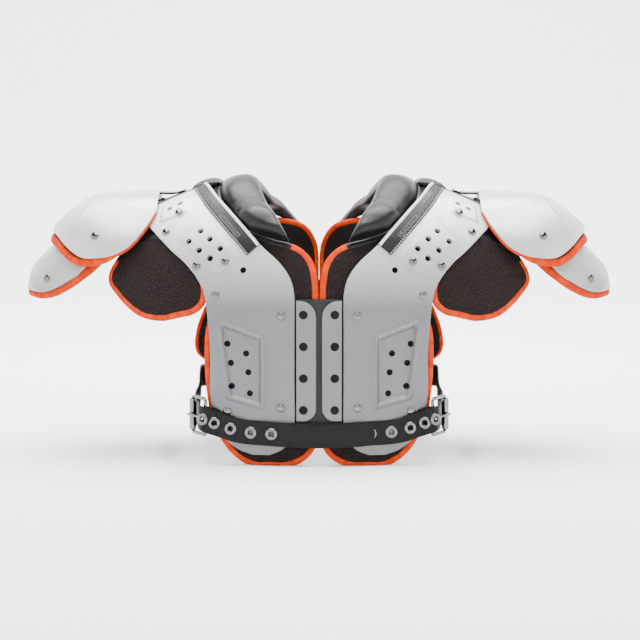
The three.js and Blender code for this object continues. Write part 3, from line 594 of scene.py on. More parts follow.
def drill(centre: Array, axis: Array, diameter: float, reach: float, side: Side) -> bpy.types.Object:
    """Makes a round cutter.

    Args:
        centre: Its middle, in the half frame.
        axis: Its direction there.
        diameter: Its diameter.
        reach: Its whole length.
        side: The wearer's side.

    Returns:
        The cutter object.
    """
    path = centre[None, :] + unit(axis)[None, :] * np.array([[-reach / 2], [0.0], [reach / 2]])
    helper = np.array([[0.3, 0.1, 0.9]] * 3) if abs(unit(axis)[2]) < 0.9 else np.array([[1.0, 0.0, 0.0]] * 3)
    return tube(path, helper, diameter / 2, diameter / 2, closed=False, sides=28).build("cutter", side)


# ---------------------------------------------------------------- finishes


class Tree:
    """A short way to lay out the nodes of a tree."""

    tree: bpy.types.NodeTree

    def add(self, kind: str, **values: object) -> bpy.types.Node:
        """Adds a node and sets its plain attributes.

        Args:
            kind: The node's type.
            values: Its attributes by name.

        Returns:
            The node.
        """
        node = self.tree.nodes.new(kind)
        for key, value in values.items():
            setattr(node, key, value)
        return node

    def join(self, source: bpy.types.NodeSocket, target: bpy.types.NodeSocket) -> None:
        """Links two sockets."""
        self.tree.links.new(source, target)


class Nodes(Tree):
    """A short way to lay out a material's nodes."""

    def __init__(self, name: str) -> None:
        """Starts an empty material with a principled shader.

        Args:
            name: The material's name.
        """
        self.material = bpy.data.materials.new(name)
        self.material.use_nodes = True
        self.tree = self.material.node_tree
        self.tree.nodes.clear()
        self.out = self.add("ShaderNodeOutputMaterial")
        self.shader = self.add("ShaderNodeBsdfPrincipled")
        self.join(self.shader.outputs["BSDF"], self.out.inputs["Surface"])

    def place(self, own_weave: bool, scale: Tuple[float, float, float]) -> bpy.types.NodeSocket:
        """Gives coordinates from the piece's weave map or from its object, scaled.

        Args:
            own_weave: Whether the pattern follows the surface's own lengths.
            scale: The scale of the pattern on each axis.

        Returns:
            The socket with the scaled coordinates.
        """
        if own_weave:
            source = self.add("ShaderNodeUVMap", uv_map="weave").outputs["UV"]
        else:
            source = self.add("ShaderNodeTexCoord").outputs["Object"]
        mapping = self.add("ShaderNodeMapping")
        mapping.inputs["Scale"].default_value = scale
        self.join(source, mapping.inputs["Vector"])
        return mapping.outputs["Vector"]

    def noise(self, where: bpy.types.NodeSocket, scale: float, detail: float = 3.0,
              roughness: float = 0.5) -> bpy.types.NodeSocket:
        """Adds a noise pattern and gives its value.

        Args:
            where: The coordinates.
            scale: The pattern's scale.
            detail: Its octaves.
            roughness: How strong the finer octaves are.

        Returns:
            The socket with the result.
        """
        node = self.add("ShaderNodeTexNoise")
        node.inputs["Scale"].default_value = scale
        node.inputs["Detail"].default_value = detail
        node.inputs["Roughness"].default_value = roughness
        self.join(where, node.inputs["Vector"])
        return node.outputs["Fac"]

    def span(self, value: bpy.types.NodeSocket, low: float, high: float, to_low: float,
             to_high: float) -> bpy.types.NodeSocket:
        """Maps a value from one range to another, clamped.

        Args:
            value: The value to map.
            low: The start of its range.
            high: The end of its range.
            to_low: What the start becomes.
            to_high: What the end becomes.

        Returns:
            The socket with the result.
        """
        node = self.add("ShaderNodeMapRange")
        for key, number in zip(("From Min", "From Max", "To Min", "To Max"), (low, high, to_low, to_high)):
            node.inputs[key].default_value = number
        self.join(value, node.inputs["Value"])
        return node.outputs["Result"]

    def blend(self, share: bpy.types.NodeSocket, first: Sequence[float],
              second: Sequence[float]) -> bpy.types.NodeSocket:
        """Mixes two colours by a share.

        Args:
            share: The share of the second colour.
            first: The first colour.
            second: The second colour.

        Returns:
            The socket with the result.
        """
        node = self.add("ShaderNodeMix", data_type="RGBA")
        node.inputs[6].default_value = (*first, 1.0)
        node.inputs[7].default_value = (*second, 1.0)
        self.join(share, node.inputs[0])
        return node.outputs[2]

    def bump(self, height: bpy.types.NodeSocket, strength: float, distance: float,
             under: Optional[bpy.types.NodeSocket] = None) -> bpy.types.NodeSocket:
        """Turns a height into a bumped normal, over another if given.

        Args:
            height: The height.
            strength: How strongly it shows.
            distance: The height of a full step, in metres.
            under: A normal to go over.

        Returns:
            The normal.
        """
        node = self.add("ShaderNodeBump")
        node.inputs["Strength"].default_value = strength
        node.inputs["Distance"].default_value = distance
        self.join(height, node.inputs["Height"])
        if under is not None:
            self.join(under, node.inputs["Normal"])
        self.join(node.outputs["Normal"], self.shader.inputs["Normal"])
        return node.outputs["Normal"]

    def set(self, **values: float) -> None:
        """Sets plain numbers on the shader, with underscores for spaces."""
        for key, value in values.items():
            self.shader.inputs[key.replace("_", " ")].default_value = value


@dataclass(frozen=True)
class SatinPlate:
    """Silver moulded plastic with a fine satin grain and faint rubbed marks, painted paler towards the top as
    painted light from above.
    """

    name: str
    colour: Tuple[float, float, float]
    # upper: the paler colour of the top, painted light standing in for the light from above
    upper: Tuple[float, float, float]
    roughness: float = 0.4
    metal: float = 0.35

    def make(self) -> bpy.types.Material:
        """Builds the material, painted paler towards the shoulders: painted light standing in for the light
        that falls on the tops from above.

        Returns:
            The material.
        """
        nodes = Nodes(self.name)
        where = nodes.place(False, (1, 1, 1))
        split = nodes.add("ShaderNodeSeparateXYZ")
        nodes.join(where, split.inputs[0])
        # Painted light: the base colour runs from the plain colour low down to the paler upper colour between
        # object heights 0.165 and 0.27 m, standing in for light from above.
        colour = nodes.blend(nodes.span(split.outputs["Z"], 0.165, 0.27, 0, 1), self.colour, self.upper)
        cloud = nodes.add("ShaderNodeMix", data_type="RGBA", blend_type="MULTIPLY")
        nodes.join(nodes.noise(where, 14, 4), cloud.inputs[0])
        nodes.join(colour, cloud.inputs[6])
        cloud.inputs[7].default_value = (0.93, 0.93, 0.93, 1)
        nodes.join(cloud.outputs[2], nodes.shader.inputs["Base Color"])
        rub = nodes.noise(nodes.place(False, (1, 1, 0.12)), 420, 4)
        nodes.join(nodes.span(rub, 0.35, 0.7, self.roughness - 0.05, self.roughness + 0.08),
                   nodes.shader.inputs["Roughness"])
        nodes.set(Metallic=self.metal, Coat_Weight=0.15, Coat_Roughness=0.25)
        grain = nodes.noise(where, 1800, 2)
        nodes.bump(grain, 0.08, 0.0002)
        return nodes.material


@dataclass(frozen=True)
class SpacerMesh:
    """Open knitted spacer mesh: rows of small eyes with a warm thread between them."""

    name: str
    thread: Tuple[float, float, float]
    eye: Tuple[float, float, float]
    pitch: float = 2.6

    def make(self) -> bpy.types.Material:
        """Builds the material.

        Returns:
            The material.
        """
        nodes = Nodes(self.name)
        repeat = 1000.0 / self.pitch
        where = nodes.place(True, (repeat, repeat, 1.0))
        eyes = nodes.add("ShaderNodeTexVoronoi", feature="F1")
        eyes.inputs["Randomness"].default_value = 0.12
        eyes.inputs["Scale"].default_value = 1.0
        nodes.join(where, eyes.inputs["Vector"])
        rim = nodes.span(eyes.outputs["Distance"], 0.22, 0.42, 0.0, 1.0)
        nodes.join(nodes.blend(rim, self.eye, self.thread), nodes.shader.inputs["Base Color"])
        nodes.set(Roughness=0.85, Specular_IOR_Level=0.12, Sheen_Weight=0.02, Sheen_Roughness=0.4)
        fine = nodes.bump(nodes.noise(nodes.place(True, (4200, 1500, 1)), 1.0, 2), 0.25, 0.0002)
        nodes.bump(rim, 0.8, 0.0006, fine)
        return nodes.material


@dataclass(frozen=True)
class BindingTape:
    """Bright woven tape: fine ribs along the edge, gathered a little where it was sewn, with painted shade:
    the hollows of the gathers take a darker, shaded copy of the orange.
    """

    name: str
    colour: Tuple[float, float, float]
    shade: Tuple[float, float, float]

    def make(self) -> bpy.types.Material:
        """Builds the material.

        Returns:
            The material.
        """
        nodes = Nodes(self.name)
        ribs = nodes.add("ShaderNodeTexWave", wave_type="BANDS", bands_direction="X")
        ribs.inputs["Scale"].default_value = 1.0
        ribs.inputs["Distortion"].default_value = 0.6
        nodes.join(nodes.place(True, (240, 60, 1)), ribs.inputs["Vector"])
        gather = nodes.noise(nodes.place(True, (40, 150, 1)), 1.0, 3)
        # Painted shade: where the gather noise is low, in the hollows of the bumped gathers, the colour falls
        # to the darker shaded orange.
        nodes.join(nodes.blend(nodes.span(gather, 0.35, 0.65, 0, 1), self.shade, self.colour),
                   nodes.shader.inputs["Base Color"])
        nodes.set(Roughness=0.75, Specular_IOR_Level=0.06)
        soft = nodes.bump(gather, 0.5, 0.0012)
        nodes.bump(ribs.outputs["Fac"], 0.35, 0.0003, soft)
        return nodes.material


@dataclass(frozen=True)
class CoatedVinyl:
    """Soft black coated cloth with a fine leather grain and faint wrinkles."""

    name: str
    colour: Tuple[float, float, float]
    roughness: float = 0.42

    def make(self) -> bpy.types.Material:
        """Builds the material.

        Returns:
            The material.
        """
        nodes = Nodes(self.name)
        where = nodes.place(False, (1, 1, 1))
        grain = nodes.add("ShaderNodeTexVoronoi", feature="F1")
        grain.inputs["Scale"].default_value = 950
        nodes.join(where, grain.inputs["Vector"])
        cloud = nodes.noise(where, 22, 4)
        light = tuple(c * 1.6 for c in self.colour)
        nodes.join(nodes.blend(cloud, self.colour, light), nodes.shader.inputs["Base Color"])
        nodes.join(nodes.span(cloud, 0.3, 0.7, self.roughness - 0.05, self.roughness + 0.1),
                   nodes.shader.inputs["Roughness"])
        nodes.set(Specular_IOR_Level=0.22)
        folds = nodes.bump(nodes.noise(nodes.place(False, (1.2, 1, 2.2)), 34, 5, 0.55), 0.35, 0.0025)
        nodes.bump(grain.outputs["Distance"], 0.18, 0.0002, folds)
        return nodes.material


@dataclass(frozen=True)
class Webbing:
    """Woven strap: ribs across with a herringbone break down the middle."""

    name: str
    colour: Tuple[float, float, float]
    roughness: float = 0.6
    rib: float = 1.5
    speckle: float = 0.0

    def make(self) -> bpy.types.Material:
        """Builds the material.

        Returns:
            The material.
        """
        nodes = Nodes(self.name)
        repeat = 1000 / self.rib
        ribs = nodes.add("ShaderNodeTexWave", wave_type="BANDS", bands_direction="DIAGONAL")
        ribs.inputs["Scale"].default_value = 0.35
        ribs.inputs["Distortion"].default_value = 0.25
        nodes.join(nodes.place(True, (repeat, repeat, 1)), ribs.inputs["Vector"])
        cloud = nodes.noise(nodes.place(True, (30, 30, 1)), 1.0, 4)
        if self.speckle:
            fleck = nodes.noise(nodes.place(True, (620, 620, 1)), 1.0, 2, 0.6)
            cloud = nodes.span(fleck, 0.42, 0.58, 0.0, 1.0)
        dark = tuple(c * (1 - self.speckle) for c in self.colour)
        light = tuple(c * (1.5 + 2.5 * self.speckle) for c in self.colour)
        nodes.join(nodes.blend(cloud, dark, light), nodes.shader.inputs["Base Color"])
        nodes.set(Roughness=self.roughness, Specular_IOR_Level=0.12)
        nodes.bump(ribs.outputs["Fac"], 0.45, 0.0003)
        return nodes.material


@dataclass(frozen=True)
class PlatedMetal:
    """Bright plated metal with hair-fine polishing marks."""

    name: str
    colour: Tuple[float, float, float]
    roughness: float = 0.12
    metal: float = 1.0
    specular: float = 0.5

    def make(self) -> bpy.types.Material:
        """Builds the material.

        Returns:
            The material.
        """
        nodes = Nodes(self.name)
        where = nodes.place(False, (1, 1, 1))
        marks = nodes.noise(where, 900, 3)
        dim = tuple(c * 0.9 for c in self.colour)
        cloud = nodes.noise(where, 60, 3)
        nodes.join(nodes.blend(cloud, dim, self.colour), nodes.shader.inputs["Base Color"])
        nodes.join(nodes.span(marks, 0.3, 0.7, self.roughness * 0.8, self.roughness * 1.5),
                   nodes.shader.inputs["Roughness"])
        nodes.set(Metallic=self.metal, Specular_IOR_Level=self.specular)
        nodes.bump(marks, 0.04, 0.0002)
        return nodes.material


@dataclass
class Finishes:
    """The materials of the whole part, made once."""

    plate: bpy.types.Material
    flap: bpy.types.Material
    mesh: bpy.types.Material
    tape: bpy.types.Material
    vinyl: bpy.types.Material
    belt: bpy.types.Material
    band: bpy.types.Material
    piping: bpy.types.Material
    steel: bpy.types.Material
    blacked: bpy.types.Material
    backing: bpy.types.Material

    @classmethod
    def make(cls) -> "Finishes":
        """Builds every material.

        Returns:
            The materials.
        """
        return cls(
            # Painted light: the second colours of the plate and flap finishes are their painted lit tops,
            # much paler than the plain colour below.
            plate=SatinPlate("satin_silver_plate_painted_lit_top", (0.122, 0.124, 0.129), (0.66, 0.666, 0.678), 0.40,
                             0.3).make(),
            flap=SatinPlate("satin_silver_flap_painted_lit_top", (0.22, 0.223, 0.23), (0.60, 0.606, 0.617), 0.34,
                            0.35).make(),
            mesh=SpacerMesh("black_spacer_mesh", (0.0125, 0.0080, 0.0072), (0.002, 0.0017, 0.0017)).make(),
            # Painted shade: the tape's second colour is a darker, shaded copy of the orange for the hollows
            # of its gathers.
            tape=BindingTape("orange_binding_tape", (0.52, 0.037, 0.0012), (0.36, 0.021, 0.0008)).make(),
            vinyl=CoatedVinyl("black_coated_vinyl", (0.0022, 0.0022, 0.0024), 0.38).make(),
            belt=Webbing("charcoal_coated_webbing", (0.0032, 0.0032, 0.0034), 0.40, 1.2).make(),
            band=Webbing("grey_ribbed_band", (0.026, 0.027, 0.028), 0.7, 2.2, 0.75).make(),
            piping=CoatedVinyl("white_piping", (0.50, 0.50, 0.50), 0.35).make(),
            steel=PlatedMetal("nickel_plate", (0.15, 0.15, 0.155), 0.06).make(),
            blacked=PlatedMetal("blacked_screw", (0.002, 0.002, 0.0022), 0.5, 0.0, 0.12).make(),
            backing=CoatedVinyl("dark_backing_sheet", (0.008, 0.008, 0.0087), 0.5).make(),
        )


# ---------------------------------------------------------------- repeated small pieces


class Recipe(Tree):
    """A Geometry Nodes tree with named inputs that sets a small shape on points or along a path."""

    def __init__(self, name: str) -> None:
        """Starts the tree.

        Args:
            name: The tree's name.
        """
        self.tree = bpy.data.node_groups.new(name, "GeometryNodeTree")
        self.tree.interface.new_socket("Geometry", in_out="INPUT", socket_type="NodeSocketGeometry")
        self.tree.interface.new_socket("Geometry", in_out="OUTPUT", socket_type="NodeSocketGeometry")
        self.entry = self.add("NodeGroupInput")
        self.exit = self.add("NodeGroupOutput")
        self.identifiers: Dict[str, str] = {}

    def size(self, name: str, value: float) -> bpy.types.NodeSocket:
        """Adds a named length input.

        Args:
            name: The input's name.
            value: Its first value, in metres.

        Returns:
            The socket inside the tree.
        """
        socket = self.tree.interface.new_socket(name, in_out="INPUT", socket_type="NodeSocketFloat")
        socket.default_value = value
        self.identifiers[name] = socket.identifier
        return self.entry.outputs[name]

    def ratio(self, first: bpy.types.NodeSocket, second: bpy.types.NodeSocket) -> bpy.types.NodeSocket:
        """Divides one value by another.

        Args:
            first: The value to divide.
            second: What it is divided by.

        Returns:
            The socket with the result.
        """
        node = self.add("ShaderNodeMath", operation="DIVIDE")
        self.join(first, node.inputs[0])
        self.join(second, node.inputs[1])
        return node.outputs[0]

    def scale_of(self, x: Value, y: Value, z: Value) -> bpy.types.NodeSocket:
        """Joins three values or numbers into a vector.

        Args:
            x: The first.
            y: The second.
            z: The third.

        Returns:
            The socket with the result.
        """
        node = self.add("ShaderNodeCombineXYZ")
        for socket, value in zip(node.inputs, (x, y, z)):
            if isinstance(value, (int, float)):
                socket.default_value = value
            else:
                self.join(value, socket)
        return node.outputs[0]

    def shaped(self, mesh: bpy.types.NodeSocket, scale: bpy.types.NodeSocket) -> bpy.types.NodeSocket:
        """Scales a small shape and shades it smooth.

        Args:
            mesh: The small shape.
            scale: Its scale on each axis.

        Returns:
            The shaped geometry.
        """
        change = self.add("GeometryNodeTransform")
        self.join(mesh, change.inputs["Geometry"])
        self.join(scale, change.inputs["Scale"])
        smooth = self.add("GeometryNodeSetShadeSmooth")
        self.join(change.outputs["Geometry"], smooth.inputs["Geometry"])
        return smooth.outputs["Geometry"]

    def finish_on(self, points: bpy.types.NodeSocket, shape: bpy.types.NodeSocket,
                  turn: bpy.types.NodeSocket, material: bpy.types.Material) -> None:
        """Sets the shape on the points, makes it real and gives it its material.

        Args:
            points: The points.
            shape: The small shape.
            turn: Its rotation at each.
            material: The material of the pieces.
        """
        place = self.add("GeometryNodeInstanceOnPoints")
        self.join(points, place.inputs["Points"])
        self.join(shape, place.inputs["Instance"])
        self.join(turn, place.inputs["Rotation"])
        real = self.add("GeometryNodeRealizeInstances")
        self.join(place.outputs["Instances"], real.inputs["Geometry"])
        dress = self.add("GeometryNodeSetMaterial")
        dress.inputs["Material"].default_value = material
        self.join(real.outputs["Geometry"], dress.inputs["Geometry"])
        self.join(dress.outputs["Geometry"], self.exit.inputs[0])

    def facing(self) -> bpy.types.NodeSocket:
        """Turns each point's stored direction into a rotation of the z axis.

        Returns:
            The rotation at each point.
        """
        stored = self.add("GeometryNodeInputNamedAttribute", data_type="FLOAT_VECTOR")
        stored.inputs["Name"].default_value = "facing"
        align = self.add("FunctionNodeAlignRotationToVector", axis="Z")
        self.join(stored.outputs["Attribute"], align.inputs["Vector"])
        return align.outputs["Rotation"]

    def apply(self, name: str, points: Array, facing: Array, sizes: Dict[str, float], side: Side,
              chain: bool = False) -> bpy.types.Object:
        """Runs the tree on points and gives one plain mesh object.

        Args:
            name: The object's name.
            points: Points in the half frame.
            facing: A direction for each point.
            sizes: Values of the named inputs, in metres.
            side: The wearer's side.
            chain: Whether the points are joined into a line.

        Returns:
            The finished object.
        """
        edges = [(i, i + 1) for i in range(len(points) - 1)] if chain else []
        mesh = bpy.data.meshes.new(name)
        mesh.from_pydata(to_frame(points, side).tolist(), edges, [])
        direction = np.array(facing, float)
        direction[:, 0] *= side.sign
        stored = mesh.attributes.new("facing", "FLOAT_VECTOR", "POINT")
        stored.data.foreach_set("vector", direction.astype(np.float32).ravel())
        obj = bpy.data.objects.new(name, mesh)
        bpy.context.scene.collection.objects.link(obj)
        modifier = obj.modifiers.new("recipe", "NODES")
        modifier.node_group = self.tree
        for key, value in sizes.items():
            modifier[self.identifiers[key]] = value
        obj.update_tag()
        bpy.context.view_layer.update()
        graph = bpy.context.evaluated_depsgraph_get()
        result = bpy.data.meshes.new_from_object(obj.evaluated_get(graph))
        obj.modifiers.remove(modifier)
        obj.data = result
        result.name = name
        bpy.data.meshes.remove(mesh)
        return obj


def dome_recipe(name: str, material: bpy.types.Material) -> Recipe:
    """Domed heads of rivets or screws, half sunk in what they hold.

    Args:
        name: Its name.
        material: The material of the pieces.

    Returns:
        The recipe, with the head's radius and height as inputs.
    """
    recipe = Recipe(name)
    radius, height = recipe.size("Head Radius", 0.004), recipe.size("Head Height", 0.002)
    ball = recipe.add("GeometryNodeMeshUVSphere")
    ball.inputs["Segments"].default_value = 20
    ball.inputs["Rings"].default_value = 12
    recipe.join(radius, ball.inputs["Radius"])
    scale = recipe.scale_of(1.0, 1.0, recipe.ratio(height, radius))
    shape = recipe.shaped(ball.outputs["Mesh"], scale)
    recipe.finish_on(recipe.entry.outputs["Geometry"], shape, recipe.facing(), material)
    return recipe


def ring_recipe(name: str, material: bpy.types.Material) -> Recipe:
    """Rolled rings of eyelets.

    Args:
        name: Its name.
        material: The material of the pieces.

    Returns:
        The recipe, with the radii of ring and wire as inputs.
    """
    recipe = Recipe(name)
    radius, wire = recipe.size("Ring Radius", 0.005), recipe.size("Wire Radius", 0.001)
    path = recipe.add("GeometryNodeCurvePrimitiveCircle")
    path.inputs["Resolution"].default_value = 28
    recipe.join(radius, path.inputs["Radius"])
    section = recipe.add("GeometryNodeCurvePrimitiveCircle")
    section.inputs["Resolution"].default_value = 10
    recipe.join(wire, section.inputs["Radius"])
    sweep = recipe.add("GeometryNodeCurveToMesh")
    recipe.join(path.outputs["Curve"], sweep.inputs["Curve"])
    recipe.join(section.outputs["Curve"], sweep.inputs["Profile Curve"])
    shape = recipe.shaped(sweep.outputs["Mesh"], recipe.scale_of(1.0, 1.0, 0.8))
    recipe.finish_on(recipe.entry.outputs["Geometry"], shape, recipe.facing(), material)
    return recipe


def stitch_recipe(name: str, material: bpy.types.Material) -> Recipe:
    """A row of sewn stitches along a line.

    Args:
        name: Its name.
        material: The material of the pieces.

    Returns:
        The recipe, with the stitches' pitch, half length and thread as inputs.
    """
    recipe = Recipe(name)
    pitch, length = recipe.size("Stitch Pitch", 0.003), recipe.size("Stitch Length", 0.002)
    thread = recipe.size("Thread Radius", 0.0003)
    curve = recipe.add("GeometryNodeMeshToCurve")
    recipe.join(recipe.entry.outputs["Geometry"], curve.inputs["Mesh"])
    marks = recipe.add("GeometryNodeCurveToPoints", mode="LENGTH")
    recipe.join(curve.outputs["Curve"], marks.inputs["Curve"])
    recipe.join(pitch, marks.inputs["Length"])
    ball = recipe.add("GeometryNodeMeshUVSphere")
    ball.inputs["Segments"].default_value = 6
    ball.inputs["Rings"].default_value = 5
    recipe.join(thread, ball.inputs["Radius"])
    scale = recipe.scale_of(1.0, 1.0, recipe.ratio(length, thread))
    shape = recipe.shaped(ball.outputs["Mesh"], scale)
    recipe.finish_on(marks.outputs["Points"], shape, marks.outputs["Rotation"], material)
    return recipe


@dataclass
class Trim:
    """The small repeated pieces of the part, each from its own recipe."""

    rivets: Recipe
    screws: Recipe
    eyelets: Recipe
    stitches: Recipe
    light_stitches: Recipe

    @classmethod
    def make(cls, finishes: Finishes) -> "Trim":
        """Builds the recipes.

        Args:
            finishes: The materials.

        Returns:
            The recipes.
        """
        return cls(
            rivets=dome_recipe("dome_rivets", finishes.steel),
            screws=dome_recipe("dome_screws", finishes.blacked),
            eyelets=ring_recipe("eyelet_rings", finishes.steel),
            stitches=stitch_recipe("dark_stitches", finishes.blacked),
            light_stitches=stitch_recipe("light_stitches", finishes.piping),
        )


def settle(obj: bpy.types.Object, body: str, slot: str, *replaced: str) -> bpy.types.Object:
    """Hands a finished piece to the frame.

    Args:
        obj: The piece.
        body: The body that it rides on.
        slot: The record's material slot; not used.
        replaced: The CAD nodes that it stands for.

    Returns:
        The piece.
    """
    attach(obj, body)
    if replaced:
        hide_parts(*replaced)
    log.info("%s: %d faces on %s", obj.name, len(obj.data.polygons), body)
    return obj


def wear(obj: bpy.types.Object, *materials: bpy.types.Material) -> bpy.types.Object:
    """Gives a mesh its materials in order.

    Args:
        obj: The piece.
        materials: The materials of its slots.

    Returns:
        The piece.
    """
    if len(obj.data.materials):
        obj.data.materials.clear()
    for material in materials:
        obj.data.materials.append(material)
    return obj


def dress(shell: Shell, name: str, side: Side, finish: bpy.types.Material, body: str, slot: str,
          *replaced: str, crease: float = 0.0) -> bpy.types.Object:
    """Builds a shell's object, gives it its finish and hands it to the frame.

    Args:
        shell: The shell.
        name: The object's name.
        side: The wearer's side.
        finish: The material.
        body: The body that it rides on.
        slot: The record's material slot, handed on to settle.
        replaced: The CAD nodes that it stands for.
        crease: The turn in degrees from which an edge is sharp, or 0 for a piece that is smooth all over.

    Returns:
        The piece.
    """
    obj = wear(shell.build(name, side), finish)
    if crease:
        crease_sharply(obj, crease)
    return settle(obj, body, slot, *replaced)


# ---------------------------------------------------------------- hard plates


def edge_shares(count: int, hem: float) -> Array:
    """Shares from 0 to 1 with extra ones close to both ends, for a rounded rim.

    Args:
        count: How many even shares there are.
        hem: The share that the rim takes.

    Returns:
        The shares, rising.
    """
    tight = np.array([0.0, 0.3, 0.7, 1.0]) * hem
    middle = np.linspace(hem, 1 - hem, count)[1:-1]
    return np.concatenate([tight, middle, 1 - tight[::-1]])


def rim_round(share: Array, hem: float, radius: float) -> Array:
    """How far a rounded rim drops from the face, for shares across a piece."""
    to_edge = np.minimum(share, 1 - share) / hem
    return radius * (1 - np.sqrt(np.clip(1 - (1 - np.clip(to_edge, 0, 1)) ** 2, 0, 1)))


def rimmed_grid(rows: int, end_hem: float, columns: int, side_hem: float,
                radius: float) -> Tuple[Array, Array, Array]:
    """Lays out a piece's shares, closer together at its rounded rim.

    Args:
        rows: How many even shares lie along the piece.
        end_hem: The share of its length that the rim takes at each end.
        columns: How many even shares lie across the piece.
        side_hem: The share of its width that the rim takes at each side.
        radius: The rim's radius.

    Returns:
        The shares along, the shares across and how far the rim drops at each.
    """
    along = edge_shares(rows, end_hem)[:, None]
    across = edge_shares(columns, side_hem)[None, :]
    return along, across, np.maximum(rim_round(along, end_hem, radius), rim_round(across, side_hem, radius))


def stitch_sizes(pitch: float, length: float) -> Dict[str, float]:
    """The stitch recipe's lengths for one pitch and half length, with the part's one thread."""
    return {"Stitch Pitch": pitch, "Stitch Length": length, "Thread Radius": 0.0003}


def roll_section(rings: int, sides: int, power: float) -> Tuple[Array, Array, Array, Array]:
    """Lays out the section rings of a soft roll.

    Args:
        rings: How many rings lie along the roll.
        sides: How many points lie round it.
        power: How square its shoulders are, 1 for round and less for square.

    Returns:
        The shares along and across, then how far top and underside reach at each point.
    """
    share, angle = np.meshgrid(np.linspace(0, 1, rings), np.arange(sides) * 2 * math.pi / sides,
                               indexing="ij")
    return (share, 0.5 - 0.5 * np.cos(angle), np.maximum(np.sin(angle), 0) ** power,
            np.maximum(-np.sin(angle), 0) ** power)


FRONT_PLATE = FormPatch(
    Face.FRONT,
    ((52, 11), (38, 17), (29, 29), (25, 47), (25, 78), (25, 110), (25, 142), (25, 173), (29, 194), (40, 212),
     (58, 231), (75, 252), (88, 273), (103, 299), (113, 328), (121, 357)),
    ((68, 11), (85, 17), (99.5, 29), (109.5, 46), (113.5, 75), (113.5, 110), (115, 142), (119, 175),
     (125.5, 194), (139, 216), (154, 235), (166, 255), (174, 271), (180, 287), (181, 312), (176, 336)),
)
BACK_PLATE = FormPatch(
    Face.BACK,
    ((52, 11), (38, 17), (29, 29), (25, 47), (25, 78), (25, 110), (25, 142), (25, 180), (30, 206), (44, 228),
     (64, 250), (84, 274), (104, 302), (124, 334), (138, 366), (144, 404)),
    ((76, 11), (94, 18), (108, 30), (118, 48), (122, 75), (124, 110), (126, 142), (130, 175), (137, 198),
     (149, 220), (161, 240), (171, 260), (178, 280), (182, 304), (183, 348), (180, 404)),
)
UPPER_PANEL: Tuple[Flat, ...] = ((84, 222), (124, 276), (146, 249), (104, 203))
CREST_PANEL: Tuple[Flat, ...] = ((138, 292), (138, 326), (166, 320), (168, 284))
LOWER_PANEL: Tuple[Flat, ...] = ((56, 58), (56, 134), (107, 153), (96, 69))
UPPER_VENTS: Tuple[Flat, ...] = ((122.8, 256), (135, 244), (113, 244), (124, 231), (102, 231), (112.5, 220))
LOWER_VENTS: Tuple[Flat, ...] = ((95.3, 126.5), (75.8, 116.8), (91.7, 106.7), (73.5, 97.2), (90.7, 82.5),
                                 (72, 75.2))
FRONT_VENTS: Tuple[Flat, ...] = ((78.5, 205.5), (157.5, 307), (146.5, 312))
FRONT_RIVETS: Tuple[Flat, ...] = ((107.8, 176.6), (39.5, 156.5), (40.0, 60.7), (95.5, 56.5), (160.5, 266),
                                  (127.3, 212.1), (147, 294), (96.6, 215))
BACK_RIVETS: Tuple[Flat, ...] = ((110, 176.6), (39.5, 156.5), (40.0, 60.7), (100, 56.5), (163, 262),
                                 (131, 212.1), (150, 290), (152, 330), (168, 352), (150, 372), (172, 388),
                                 (96.6, 215))


